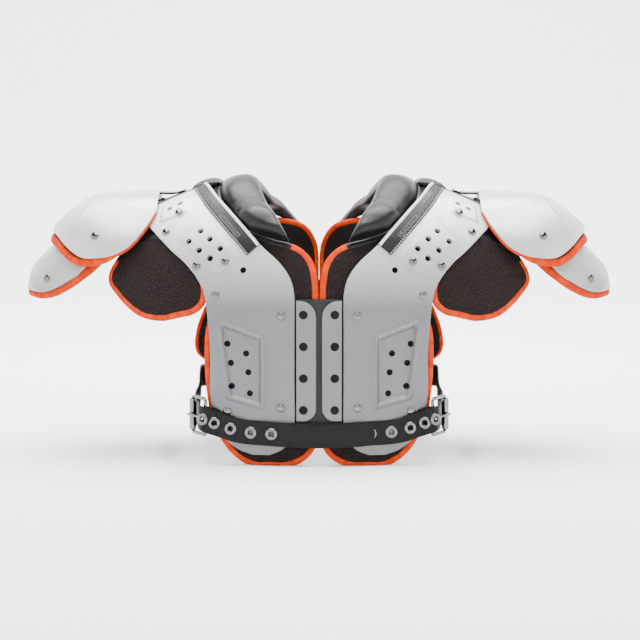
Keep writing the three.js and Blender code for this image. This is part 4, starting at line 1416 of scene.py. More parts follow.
@dataclass
class MouldedPlate:
    """One satin plate with its embossed panels and vent holes."""

    patch: FormPatch
    layer: float
    rivets: Tuple[Flat, ...]
    thickness: float = PLATE_THICKNESS
    rows: int = 220
    columns: int = 76
    end_hem: float = 0.0035
    side_hem: float = 0.013
    rim_radius: float = 1.3
    panel_rise: float = 3.0
    panel_sink: float = 1.6
    border: float = 4.5
    upper_share: float = 0.8
    crest_share: float = 0.6
    vent_diameter: float = 6.6

    def relief(self, flat: Array) -> Array:
        """How far the outer face stands off its layer at [x, height].

        Args:
            flat: Places on the form.

        Returns:
            The height at each place.
        """
        upper = polygon_distance(flat, UPPER_PANEL)
        height = self.upper_share * self.panel_rise * (1 - smooth_step(-1.8, 0.6, upper))
        if self.patch.face is Face.FRONT:
            crest = polygon_distance(flat, CREST_PANEL)
            rise = self.crest_share * self.panel_rise * (1 - smooth_step(-1.8, 0.4, crest))
            height = np.maximum(height, rise)
        lower = polygon_distance(flat, LOWER_PANEL)
        ridge = self.panel_rise * (1 - smooth_step(-2.4, 1.2, lower))
        inside = 1 - smooth_step(-self.border - 2.4, -self.border + 1.2, lower)
        return height + ridge - (self.panel_rise + self.panel_sink) * inside

    def build(self, side: Side, finishes: Finishes, trim: Trim) -> None:
        """Builds the plate and its rivets on one side.

        Args:
            side: The wearer's side.
            finishes: The materials.
            trim: The recipes of small pieces.
        """
        name = f"{side.word}_{self.patch.face.word}_plate"
        along, across, drop = rimmed_grid(self.rows, self.end_hem, self.columns, self.side_hem,
                                          self.rim_radius)
        flat = self.patch.flat(*np.broadcast_arrays(along, across))
        outer = self.patch.at(along, across, self.layer + self.relief(flat) - drop)
        inner = self.patch.at(along, across, self.layer - self.thickness + 0.4 * drop)
        plate = wall(outer, inner).build(name + "_moulding", side)
        vents = UPPER_VENTS + LOWER_VENTS
        if self.patch.face is Face.FRONT:
            vents = vents + FRONT_VENTS
        cut_through(plate, [self.vent(x, height, side) for x, height in vents])
        crease_sharply(plate, 38)
        wear(plate, finishes.plate)
        settle(plate, "torso", "plate", name)
        self.add_rivets(side, trim)
        if self.patch.face is Face.FRONT:
            self.add_top_band(side, finishes)

    def add_top_band(self, side: Side, finishes: Finishes) -> None:
        """Folds a dark band over the plate's top edge.

        Args:
            side: The wearer's side.
            finishes: The materials.
        """
        across = np.linspace(0.0, 1.0, 50)
        one = np.ones_like(across)
        centre = self.patch.at(one, across, self.layer - self.thickness / 2)
        below = self.patch.at(one * 0.99, across, self.layer - self.thickness / 2)
        out = unit(self.patch.at(one, across, 1.0) - self.patch.at(one, across, 0.0))
        centre = centre + unit(below - centre) * 0.6
        band = tube(centre, out, 1.9, self.thickness / 2 + 0.55, closed=False, sides=14, squareness=4)
        dress(band, f"{side.word}_front_plate_top_band", side, finishes.vinyl, "torso", "webbing")

    def vent(self, x: float, height: float, side: Side) -> bpy.types.Object:
        """The cutter of one vent hole."""
        centre, axis = self.spot(x, height, 0.0)
        return drill(centre, axis, self.vent_diameter, 16.0, side)

    def spot(self, x: float, height: float, lift: float) -> Tuple[Array, Array]:
        """A point on the outer face and the direction out of it there.

        Args:
            x: Distance from the middle plane.
            height: Height up the form.
            lift: How far off the face.

        Returns:
            The point and the direction.
        """
        rise = float(self.relief(np.array([[x, height]]))[0])
        face = self.patch.face.sign
        base = FORM.at(face, x, height, self.layer + rise + lift)
        return base, FORM.out(face, x, height)

    def add_rivets(self, side: Side, trim: Trim) -> None:
        """Sets the plate's dome rivets.

        Args:
            side: The wearer's side.
            trim: The recipes of small pieces.
        """
        spots = [self.spot(x, height, RIVET_LIFT) for x, height in self.rivets]
        name = f"{side.word}_{self.patch.face.word}_plate_rivets"
        studs = trim.rivets.apply(name, np.array([s[0] for s in spots]), np.array([s[1] for s in spots]),
                                  RIVET_SIZES, side)
        settle(studs, "torso", "steel")


EPAULET_RIM: Tuple[Flat, ...] = ((172, 38), (181, 54), (196, 69), (213, 77), (233, 80), (254, 78), (271, 63),
                                 (283, 37), (288, 13))
CUP_RIM: Tuple[Flat, ...] = ((18, 44), (26, 50), (40, 53), (52, 54), (64, 51), (73, 46), (79, 39), (81, 30))


@dataclass
class DomedFlap:
    """The hard shell of an epaulet or a cup, with the soft creases of its moulding and its rivets."""

    word: str
    dome: Dome
    rivets: Tuple[Flat, ...]
    creases: Tuple[Tuple[float, float, float, float, float], ...]
    hem_share: float = 0.0
    thickness: float = PLATE_THICKNESS
    rows: int = 64
    columns: int = 84
    end_hem: float = 0.012
    side_hem: float = 0.01
    rim_radius: float = 1.2

    def crease(self, along: Array, across: Array) -> Array:
        """Height of the soft creases, each a ridge along a line in the flap's shares.

        Args:
            along: Shares along the piece.
            across: Shares across the piece.

        Returns:
            The height at each point.
        """
        height = np.zeros(np.broadcast(along, across).shape)
        for at_along, at_across, turn, width, rise in self.creases:
            reach = (along - at_along) * math.cos(turn) + (across - at_across) * math.sin(turn)
            height = height + rise * np.exp(-np.abs(reach) / width)
        return height

    def build(self, side: Side, finishes: Finishes, trim: Trim) -> None:
        """Builds the shell and its rivets on one side.

        Args:
            side: The wearer's side.
            finishes: The materials.
            trim: The recipes of small pieces.
        """
        body = f"{side.word}_{self.word}"
        along, across, drop = rimmed_grid(self.rows, self.end_hem, self.columns, self.side_hem,
                                          self.rim_radius)
        fade = np.clip(np.minimum(np.minimum(along, 1 - along), np.minimum(across, 1 - across)) / 0.12, 0, 1)
        lift = self.crease(along, across) * fade
        outer = self.dome.at(along, across, lift - drop)
        inner = self.dome.at(along, across, -self.thickness + 0.3 * drop)
        dress(wall(outer, inner), body + "_shell_moulding", side, finishes.flap, body, "flap",
              body + "_shell", crease=40)
        place = np.array(self.rivets)
        spots = self.dome.at(place[:, 0], place[:, 1], RIVET_LIFT)
        out = unit(self.dome.at(place[:, 0], place[:, 1], 1.0) - spots)
        settle(trim.rivets.apply(body + "_rivets", spots, out, RIVET_SIZES, side), body, "steel")
        if self.hem_share:
            self.add_hem(side, finishes)

    def add_hem(self, side: Side, finishes: Finishes) -> None:
        """Runs the bright hem thinly along the rim from the hinge corners to the cushion.

        Args:
            side: The wearer's side.
            finishes: The materials.
        """
        along = np.linspace(0.02, self.hem_share, 30)
        for index, edge in enumerate((0.0, 1.0)):
            across = np.full_like(along, edge)
            line = self.dome.at(along, across, -self.thickness - 0.8)
            out = unit(self.dome.at(along, across, 1.0) - self.dome.at(along, across, 0.0))
            wide = np.linspace(1.5, 3.0, len(along))
            hem = tube(line, out, wide, 1.1, closed=False, sides=12, squareness=2.5)
            body = f"{side.word}_{self.word}"
            dress(hem, f"{body}_hem_{index}", side, finishes.tape, body, "foam")


# ---------------------------------------------------------------- cushions


@dataclass
class Cushion:
    """A sewn foam cushion: two faces held along the edge and along its seams, and a bound rim."""

    word: str
    patch: Patch
    layer: float
    depth: float
    edge_depth: float
    rows: int
    columns: int
    body: str = "torso"
    slot: str = "mesh"
    seams: Tuple[float, ...] = ()
    puff_out: float = 0.5
    puff_in: float = 4.0
    tape_width: float = 3.4
    tape_inset: float = 2.2
    tape_out: float = 0.4
    tape_inset_inner: Optional[float] = None
    bright_to: float = 1.0
    fill: float = 0.7
    open_puff: float = 0.0
    under: Optional[FormPatch] = None
    bare_from: float = 0.0
    neck_run: Tuple[float, float] = (0.12, 0.9)
    grid: Optional[Tuple[Array, Array]] = None

    def depth_at(self, along: Array, across: Array) -> Array:
        """Depth of the foam before it is blown up: full in the middle, pinched at edge and seams.

        Args:
            along: Shares along the piece.
            across: Shares across the piece.

        Returns:
            The depth at each point.
        """
        to_edge = np.minimum(np.minimum(across, 1 - across), np.minimum(along, 1 - along))
        crown = np.sin(np.minimum(1.0, to_edge / 0.2) * (math.pi / 2))
        pressed = np.ones_like(crown)
        for seam in self.seams:
            pressed = pressed * (1 - 0.3 * np.exp(-(((along - seam) * self.rows) / 0.8) ** 2))
        return self.edge_depth + (self.depth - self.edge_depth) * crown * pressed

    def start(self) -> Tuple[Array, Array, Array, Array]:
        """The grids of the two faces, their shares and which points are sewn down.

        Returns:
            Outer grid, inner grid, outward directions and the held mask.
        """
        along = np.linspace(0, 1, self.rows)[:, None]
        across = np.linspace(0, 1, self.columns)[None, :]
        along, across = np.broadcast_arrays(along, across)
        outer = self.patch.at(along, across, self.layer)
        inner = self.patch.at(along, across, self.layer - self.depth_at(along, across))
        out = unit(outer - inner)
        held = np.zeros(along.shape, bool)
        held[0], held[-1], held[:, 0], held[:, -1] = True, True, True, True
        for seam in self.seams:
            held[int(round(seam * (self.rows - 1)))] = True
        return outer, inner, out, held

    def limits(self) -> Array:
        """How far the outer face may swell at each point: more where no plate lies over it.

        Returns:
            The limit at each point of the grid.
        """
        along, across = np.meshgrid(np.linspace(0, 1, self.rows), np.linspace(0, 1, self.columns),
                                    indexing="ij")
        if self.under is None:
            return np.full(along.shape, self.puff_out)
        plate = self.under.inner + self.under.outer[::-1]
        clear = smooth_step(1.0, 9.0, polygon_distance(self.patch.flat(along, across), plate))
        upper = smooth_step(self.bare_from - 0.06, self.bare_from + 0.06, along)
        return self.puff_out + self.open_puff * clear * upper

    def rim(self) -> Array:
        """The rounded line that the binding follows.

        Returns:
            The closed line.
        """
        fine = np.linspace(0, 1, 60)
        nought, one = np.zeros_like(fine), np.ones_like(fine)
        along = np.concatenate([fine, one, fine[::-1], nought])
        across = np.concatenate([nought, fine, one, fine[::-1]])
        middle = self.layer + self.tape_out - self.edge_depth / 2
        edge = self.patch.at(along, across, middle)
        nudge = 0.02
        inward_along = along + (0.5 - along) * nudge
        inward_across = across + (0.5 - across) * nudge
        inside = self.patch.at(inward_along, inward_across, middle)
        pull = unit(inside - edge)
        inner = self.tape_inset if self.tape_inset_inner is None else self.tape_inset_inner
        at_neck = (across == 0) & (along > self.neck_run[0]) & (along < self.neck_run[1])
        inset = np.where(at_neck, inner, self.tape_inset)
        path = edge + pull * inset[:, None]
        return softened(resample(path, 3.0, closed=True), 6, closed=True)

    def face_directions(self, path: Array) -> Tuple[Array, Array]:
        """Directions out of the cushion at points of its rim, and how far along it they are.

        Args:
            path: The path's points.

        Returns:
            The directions, and the shares along the cushion.
        """
        outer, inner, out, _ = self.start()
        middle = ((outer + inner) / 2).reshape(-1, 3)
        flat_out = out.reshape(-1, 3)
        nearest = np.array([np.argmin(np.sum((middle - p) ** 2, axis=1)) for p in path])
        directions = flat_out[nearest]
        return unit(softened(directions, 8, closed=True)), (nearest // self.columns) / (self.rows - 1)

    def tape(self, seed: int) -> Shell:
        """The binding tape round the rim, gathered a little as sewn tape is.

        Args:
            seed: The number that its gathers are drawn from.

        Returns:
            The tape's shell.
        """
        path = self.rim()
        directions, share = self.face_directions(path)
        rng = np.random.default_rng(seed)
        ripple = softened(rng.normal(0, 1, (len(path), 1)), 2, closed=True)[:, 0]
        wide = self.tape_width * (1 + 0.05 * ripple)
        thick = (self.edge_depth / 2 + self.tape_out) * (1 + 0.04 * ripple)
        sides = 14
        tape = tube(path, directions, wide, thick, closed=True, sides=sides, squareness=2.5)
        tape.points[:, 2] = np.maximum(tape.points[:, 2], 0.1)
        tape.marks = np.repeat((share > self.bright_to).astype(int), sides).tolist()
        return tape

    def shell(self) -> Shell:
        """The cushion's closed shell."""
        return wall(*self.grid)

    def build(self, side: Side, finishes: Finishes, seed: int) -> None:
        """Builds the cushion and its binding on one side.

        Args:
            side: The wearer's side.
            finishes: The materials.
            seed: The number that the binding's gathers are drawn from.
        """
        node = f"{side.word}_{self.word}"
        body = self.body if self.body == "torso" else f"{side.word}_{self.body}"
        cushion = self.shell().build(node + "_cushion", side)
        wear(cushion, finishes.mesh)
        finer = cushion.modifiers.new("finer", "SUBSURF")
        finer.levels = finer.render_levels = 1
        settle(cushion, body, self.slot, node)
        if self.tape_width:
            tape = self.tape(seed).build(node + "_binding", side)
            wear(tape, finishes.tape, finishes.vinyl)
            settle(tape, body, "foam")


class CushionWorks:
    """Blows the cushions up as cloth, once for the left side, and builds both sides from the result."""

    pressure = 4.0
    last_frame = 20
    slide_outer, slide_inner = 1.0, 2.0
    least_move = -0.6

    def __init__(self, cushions: Sequence[Cushion]) -> None:
        """Keeps the cushions to make.

        Args:
            cushions: The cushions of one side.
        """
        self.cushions = list(cushions)

    def blow_up(self) -> None:
        starts = [cushion.start() for cushion in self.cushions]
        trial = []
        for cushion, (outer, inner, _, held) in zip(self.cushions, starts):
            trial.append(self.cloth(cushion, wall(outer, inner), np.concatenate([held.ravel()] * 2)))
        scene = bpy.context.scene
        for frame in range(1, self.last_frame + 1):
            scene.frame_set(frame)
        graph = bpy.context.evaluated_depsgraph_get()
        for cushion, obj, (outer, inner, out, _) in zip(self.cushions, trial, starts):
            flat = np.empty(len(obj.data.vertices) * 3)
            obj.evaluated_get(graph).data.vertices.foreach_get("co", flat)
            points = flat.reshape(-1, 3) / MM
            points[:, 1] -= FRAME_SHIFT_Y
            half = len(points) // 2
            inward = np.full(out.shape[:2], cushion.puff_in)
            cushion.grid = (self.capped(points[:half], outer, out, cushion.limits(), self.slide_outer),
                            self.capped(points[half:], inner, -out, inward, self.slide_inner))
            log.info("%s blown up", cushion.word)
        for obj in trial:
            bpy.data.objects.remove(obj)
        scene.frame_set(1)

    def cloth(self, cushion: Cushion, shell: Shell, held: Array) -> bpy.types.Object:
        """A trial object with its cloth settings and sewn points.

        Args:
            cushion: The cushion.
            shell: Its flat shell.
            held: Which of its points are sewn down.

        Returns:
            The trial object.
        """
        obj = shell.build(cushion.word + "_trial", Side.LEFT)
        group = obj.vertex_groups.new(name="sewn")
        group.add([int(i) for i in np.nonzero(held)[0]], 1.0, "REPLACE")
        modifier = obj.modifiers.new("cloth", "CLOTH")
        settings = modifier.settings
        settings.quality = 5
        settings.mass = 0.3
        settings.tension_stiffness = settings.compression_stiffness = 12
        settings.shear_stiffness = 6
        settings.bending_stiffness = 0.4
        settings.vertex_group_mass = "sewn"
        settings.use_pressure = True
        settings.uniform_pressure_force = self.pressure
        settings.effector_weights.gravity = 0
        modifier.collision_settings.use_collision = False
        modifier.point_cache.frame_start = 1
        modifier.point_cache.frame_end = self.last_frame
        return obj

    def capped(self, points: Array, start: Array, out: Array, most: Array, slide: float) -> Array:
        """Keeps each point's move within the room that it has.

        Args:
            points: The simulated points.
            start: The grid that they started from.
            out: The direction out of the face.
            most: The most that a point may move that way.
            slide: The most that it may slide along the face.

        Returns:
            The grid of moved points.
        """
        move = points.reshape(start.shape) - start
        away = np.sum(move * out, axis=-1)
        along = move - out * away[..., None]
        length = np.maximum(np.linalg.norm(along, axis=-1, keepdims=True), 1e-9)
        along = along / length * np.minimum(length, slide)
        return start + out * np.clip(away, self.least_move, most)[..., None] + along

    def build(self, finishes: Finishes) -> None:
        """Builds every cushion on both sides.

        Args:
            finishes: The materials.
        """
        for seed, cushion in enumerate(self.cushions):
            for side in Side:
                cushion.build(side, finishes, seed)


FRONT_PAD = FormPatch(
    Face.FRONT,
    ((44, -0.5), (26, 2.5), (12, 11), (4.5, 26), (3.6, 60), (3.6, 100), (3.6, 140), (3.6, 176), (6.5, 206),
     (14, 222), (27, 232), (48, 238), (73, 250), (90, 270), (101, 296)),
    ((57, -0.5), (73, 2.4), (87, 9.6), (100, 24.5), (111.5, 49), (117, 80), (119, 110), (118, 138),
     (112, 160), (109, 182), (112, 202), (126, 224), (144, 244), (153, 262.4), (152, 284.5)),
)
BACK_PAD = FormPatch(
    Face.BACK,
    ((44, -0.5), (26, 2.5), (12, 11), (4.5, 26), (3.6, 60), (3.6, 100), (3.6, 140), (3.6, 186), (4.5, 216),
     (12.5, 238), (25, 250), (50, 257.4), (73, 265.4), (90, 280.4), (101, 298.4)),
    ((62, -0.5), (84, 5), (104, 18), (118, 38), (123, 62), (127, 82), (141, 91), (142, 112), (132, 142),
     (116, 168), (114, 196), (126, 224), (140, 246), (152, 264), (155, 282)),
)
ARCH_PAD = FormPatch(
    Face.FRONT,
    ((104, 308), (107, 334), (109, 368), (109, 400), (107, 430), (103, 454)),
    ((155, 300), (161, 328), (165, 368), (165, 400), (162, 434), (158, 464)),
)
DELTOID_OUTER: Tuple[Flat, ...] = ((162, 150.5), (190, 153.5), (211, 168), (224, 189), (226, 212),
                                   (217, 240), (200, 269))
FRONT_DELTOID = FormPatch(
    Face.FRONT, ((137, 156), (120.5, 169), (119, 188), (127, 207), (140, 226), (151, 244), (163, 269)),
    DELTOID_OUTER)
BACK_DELTOID = FormPatch(
    Face.BACK, ((139, 156), (126, 170), (124, 190), (129.5, 208), (140, 226), (151, 244), (163, 269)),
    DELTOID_OUTER)
PAD_START_X, PAD_TIP_X = 189.0, 291.5
HINGE_X, TIP_X = 172.0, 288.0


def epaulet_pad_rim() -> Tuple[Flat, ...]:
    """The rim of the epaulet's cushion, wider than the shell by its hem."""
    share = (PAD_TIP_X - PAD_START_X) / (TIP_X - HINGE_X)
    return tuple((PAD_START_X + (x - HINGE_X) * share, angle + 5.0) for x, angle in EPAULET_RIM)


def cup_pad_rim() -> Tuple[Flat, ...]:
    """The rim of the cup's cushion, wider than the shell by its hem."""
    hem = 2.6
    return tuple((sweep + sweep / CUP_RIM[-1][0] * hem, angle + hem) for sweep, angle in CUP_RIM)


def cushions() -> List[Cushion]:
    """Every cushion of one side, in the places of their solids.

    Returns:
        The cushions, in the order in which they are made.
    """
    flap, flap_depth = -3.9, 7.6
    return [
        Cushion("front_body_pad", FRONT_PAD, -3.9, 13, 6, 52, 26, seams=(0.2, 0.4, 0.6), puff_out=0.4,
                puff_in=5.0, tape_width=3.7, tape_inset_inner=0.4, bright_to=0.72, open_puff=4.0,
                under=FRONT_PLATE, bare_from=0.62),
        Cushion("back_body_pad", BACK_PAD, -7.2, 13, 6, 52, 26, seams=(0.2, 0.4, 0.6), puff_out=0.4,
                puff_in=5.0, tape_width=3.7, tape_inset_inner=0.4, bright_to=0.8, open_puff=2.0,
                under=BACK_PLATE, bare_from=0.62),
        Cushion("arch_pad", ARCH_PAD, -7.65, 11, 6, 30, 14, puff_out=0.3, puff_in=4.0, tape_width=2.6,
                bright_to=-1.0),
        Cushion("front_deltoid_pad", FRONT_DELTOID, -3.7, 10, 6, 28, 24, body="front_deltoid",
                puff_out=2.5, puff_in=3.0, tape_width=3.8, bright_to=0.84),
        Cushion("back_deltoid_pad", BACK_DELTOID, -7.0, 10, 6, 28, 24, body="back_deltoid",
                puff_out=2.5, puff_in=3.0, tape_width=3.8, bright_to=0.84),
        Cushion("epaulet_pad", EpauletDome(epaulet_pad_rim()), flap, flap_depth, 4.5, 26, 36, body="epaulet",
                slot="foam", puff_out=0.3, puff_in=2.5, tape_width=4.4, tape_inset=2.0, tape_out=1.2),
        Cushion("cup_pad", CupDome(cup_pad_rim()), flap, flap_depth, 4.5, 24, 28, body="cup", slot="foam",
                puff_out=0.3, puff_in=2.5, tape_width=3.9, tape_inset=1.2, tape_out=1.2),
    ]


@dataclass(frozen=True)
class DeltoidTab:
    """The cloth tab that holds a deltoid pad's top under the plate."""

    face: Face
    offset: float = -5.0
    thickness: float = 3.0

    def build(self, side: Side, finishes: Finishes) -> None:
        """Builds the tab on one side.

        Args:
            side: The wearer's side.
            finishes: The materials.
        """
        patch = FormPatch(self.face, ((156, 267.5), (162, 281), (164, 295)),
                          ((201, 267.5), (201, 281), (198, 295)))
        along, across = np.linspace(0, 1, 16)[:, None], np.linspace(0, 1, 24)[None, :]
        outer = self.offset if self.face is Face.FRONT else self.offset + BACK_LAYER
        tab = wall(patch.at(along, across, outer), patch.at(along, across, outer - self.thickness))
        dress(tab, f"{side.word}_{self.face.word}_deltoid_tab", side, finishes.mesh, "torso", "mesh",
              crease=50)


@dataclass
class NeckRoll:
    """The soft roll round the neck: a fat tube over the crest that thins to a sewn tip at each end."""

    inner: Tuple[Flat, ...] = ((31, 237), (42, 260), (53, 290), (62, 330.5), (67, 382), (61, 433), (49, 473),
                               (35, 503), (20, 524))
    outer: Tuple[Flat, ...] = ((50, 233), (72, 254), (91, 284.5), (105, 326.6), (108, 382), (101, 433),
                               (90, 463), (73, 487), (48, 511.4))
    rise: float = 20.5
    sink: float = 14.0
    edge: float = 5.0
    rings: int = 130
    sides: int = 36
    shoulder: float = 0.75
    low_share: float = 0.32
    top_share: float = 0.68
    under_share: float = 0.30
    tip_run: float = 0.12
    seam_across: float = 0.93
    seam_share: float = 0.62
    fill: float = 0.85

    def seat(self, share: Array) -> Array:
        """The layer that the roll lies on, lower over the crest.

        Args:
            share: Shares along the roll.

        Returns:
            The layer at each.
        """
        down = smooth_step(0.13, 0.3, share)
        up = 1 - smooth_step(0.7, 0.87, share)
        return -3.9 + BACK_LAYER * share + 0.75 - self.sink * np.minimum(down, up)

    def full(self, share: Array) -> Array:
        """The roll's whole height at shares along it, low at both tips."""
        ends = np.minimum(1.0, np.sin(math.pi * np.clip(share, 0.004, 0.996)) * 4) ** 0.6
        return self.edge + (self.rise - self.edge) * ends

    def rings_at(self) -> Array:
        """The section rings from the front tip to the back tip.

        Returns:
            Rings by points by three.
        """
        share, across, top, under = roll_section(self.rings, self.sides, self.shoulder)
        full = self.full(share)
        fold = self.folds(share, across)
        offset = (self.seat(share) + self.low_share * full + (full * self.top_share + fold) * top
                  - self.under_share * full * under)
        inner, outer = spline(self.inner, share), spline(self.outer, share)
        both = smooth_step(0.0, self.tip_run, share), smooth_step(0.0, self.tip_run, 1 - share)
        point = 0.12 + 0.88 * both[0] * both[1]
        place = inner + (outer - inner) * (across * point)[..., None]
        return FORM.at(-1.0, place[..., 0], place[..., 1], offset)

    def folds(self, share: Array, across: Array) -> Array:
        """The crease at the shoulder bend and a few shallow wrinkles.

        Args:
            share: Shares along the roll.
            across: Shares across the roll.

        Returns:
            The height of the folds at each point.
        """
        bend = -2.6 * np.exp(-(((share - 0.235 + 0.05 * (across - 0.5)) / 0.012) ** 2))
        rear = -2.2 * np.exp(-(((share - 0.74 - 0.05 * (across - 0.5)) / 0.012) ** 2))
        swell = 0.9 * np.sin(share * 31 + across * 3) * np.exp(-(((share - 0.5) / 0.3) ** 2))
        return bend + rear + swell

    def build(self, side: Side, finishes: Finishes, trim: Trim) -> None:
        """Builds the roll on one side, with its seam.

        Args:
            side: The wearer's side.
            finishes: The materials.
            trim: The recipes of small pieces.
        """
        node = f"{side.word}_neck_pad"
        roll = dress(loft(self.rings_at()), node + "_roll", side, finishes.vinyl, "torso", "vinyl", node)
        share = np.linspace(0.02, 0.3, 60)
        inner, outer = spline(self.inner, share), spline(self.outer, share)
        place = inner + (outer - inner) * self.seam_across
        line = FORM.at(-1.0, place[:, 0], place[:, 1], self.seat(share) + self.full(share) * self.seam_share)
        seam = trim.stitches.apply(node + "_stitches", line, np.tile([0.0, -1.0, 0.0], (len(line), 1)),
                                   stitch_sizes(0.0032, 0.0011), side, chain=True)
        settle(seam, "torso", "vinyl")


@dataclass
class CollarRoll:
    """The small rounded rim pad behind the neck roll at the top of the arch."""

    patch: FormPatch = FormPatch(
        Face.FRONT,
        ((107, 368), (107, 392), (103, 420), (96, 444)),
        ((139, 368), (134, 392), (122, 420), (107, 444)),
    )
    layer: float = -6.9
    rise: float = 11.0
    edge: float = 3.5
    under: float = 3.0
    shoulder: float = 0.7
    fill: float = 0.8

    def build(self, side: Side, finishes: Finishes) -> None:
        """Builds the pad on one side.

        Args:
            side: The wearer's side.
            finishes: The materials.
        """
        node = f"{side.word}_collar_pad"
        share, across, top, under = roll_section(40, 26, self.shoulder)
        ends = np.sin(math.pi * np.clip(share, 0.01, 0.99)) ** 0.35
        offset = self.layer + self.edge + (self.rise - self.edge) * ends * top - self.under * under
        pad = loft(self.patch.at(share, across, offset))
        dress(pad, node + "_roll", side, finishes.vinyl, "torso", "vinyl", node)


# ---------------------------------------------------------------- straps and strips


@dataclass
class NeckEdgeStrip:
    """The bound strip along the plate's neck edge: a dark band, a ribbed tape and a light cord."""

    patch: FormPatch = FormPatch(
        Face.FRONT,
        ((61.5, 234), (88, 273), (107, 310), (119.5, 352)),
        ((74.5, 222), (101, 260), (121, 300), (133, 344)),
    )
    foot: float = 0.3
    band_top: float = 2.3
    tape_foot: float = 2.0
    tape_top: float = 3.1
    tape_along: Tuple[float, float] = (0.17, 0.8)
    tape_across: Tuple[float, float] = (0.5, 0.36)
    cord_across: float = 0.1
    cord_layer: float = 2.7
    seam_across: float = 0.93

    def build(self, side: Side, finishes: Finishes, trim: Trim) -> None:
        """Builds the strip, its tape and its cord on one side.

        Args:
            side: The wearer's side.
            finishes: The materials.
            trim: The recipes of small pieces.
        """
        node = f"{side.word}_neck_edge_strip"
        along, across, drop = rimmed_grid(60, 0.012, 12, 0.06, 0.9)
        strip = wall(self.patch.at(along, across, self.band_top - drop),
                     self.patch.at(along, across, self.foot + 0 * drop))
        dress(strip, node + "_band", side, finishes.vinyl, "torso", "webbing", node)
        along, across, drop = rimmed_grid(70, 0.01, 10, 0.1, 0.5)
        along = along * self.tape_along[1] + self.tape_along[0]
        across = across * self.tape_across[1] + self.tape_across[0]
        tape = wall(self.patch.at(along, across, self.tape_top - drop),
                    self.patch.at(along, across, self.tape_foot + 0 * drop))
        dress(tape, node + "_tape", side, finishes.band, "torso", "webbing")
        share = np.linspace(0.0, 1.0, 90)
        beside = np.full_like(share, self.cord_across)
        centre = self.patch.at(share, beside, self.cord_layer)
        out = unit(self.patch.at(share, beside, self.cord_layer + 1.0) - centre)
        cord = tube(centre, out, 1.7, 1.3, closed=False, sides=10)
        dress(cord, node + "_light_cord", side, finishes.piping, "torso", "webbing")
        line = self.patch.at(np.linspace(0.02, 0.98, 80), np.full(80, self.seam_across), self.band_top + 0.1)
        row = trim.light_stitches.apply(node + "_stitches", line, np.tile([0.0, 0.0, 1.0], (80, 1)),
                                        stitch_sizes(0.0034, 0.0013), side, chain=True)
        settle(row, "torso", "webbing")


@dataclass
class FlexStrap:
    """A strap of doubled webbing at a flap's hinge."""

    word: str
    body: str
    half_width: float
    thickness: float = 2.0

    def centre_line(self) -> Array:
        """The middle of the strap, from its sewn end to its hinge edge.

        Returns:
            The line's points.
        """
        epaulet, cup = EpauletDome(EPAULET_RIM), CupDome(CUP_RIM)
        if self.word == "epaulet_strap":
            seat = BACK_LAYER + 0.3 + self.thickness / 2
            edge = epaulet.at(0.0, 0.5, -1.5)
            points = [FORM.at(-1.0, x, FORM.crest, seat) for x in (145.0, 149.0, 153.0)]
            points += [edge + np.array([-5.0, 0, -0.5]), edge + np.array([-0.7, 0, 0])]
            return centripetal(points, 6)
        edge = cup.at(0.0, 0.5, -1.5)
        along = unit(edge - CupDome(((17.0, 44.0), (18.0, 44.0))).at(0.0, 0.5, -1.5))
        under = -3.0 - 1.8 - 7.6 - self.thickness / 2 - 1.0
        span = EpauletDome(((204.0, 40.0), (212.0, 40.0)))
        points = [span.at(0.0, 0.5, under), span.at(1.0, 0.5, under), edge - along * 7, edge - along * 0.4]
        return centripetal(points, 6)

    def build(self, side: Side, finishes: Finishes) -> None:
        """Builds the strap on one side.

        Args:
            side: The wearer's side.
            finishes: The materials.
        """
        node = f"{side.word}_{self.word}"
        body = self.body if self.body == "torso" else f"{side.word}_{self.body}"
        path = self.centre_line()
        tangent = unit(np.gradient(path, axis=0))
        normal = np.cross(tangent, np.array([0.0, 1.0, 0.0]))
        strap = tube(path, normal, self.half_width, self.thickness / 2, closed=False, sides=24,
                     squareness=8)
        dress(strap, node + "_webbing", side, finishes.belt, body, "webbing", node, crease=50)


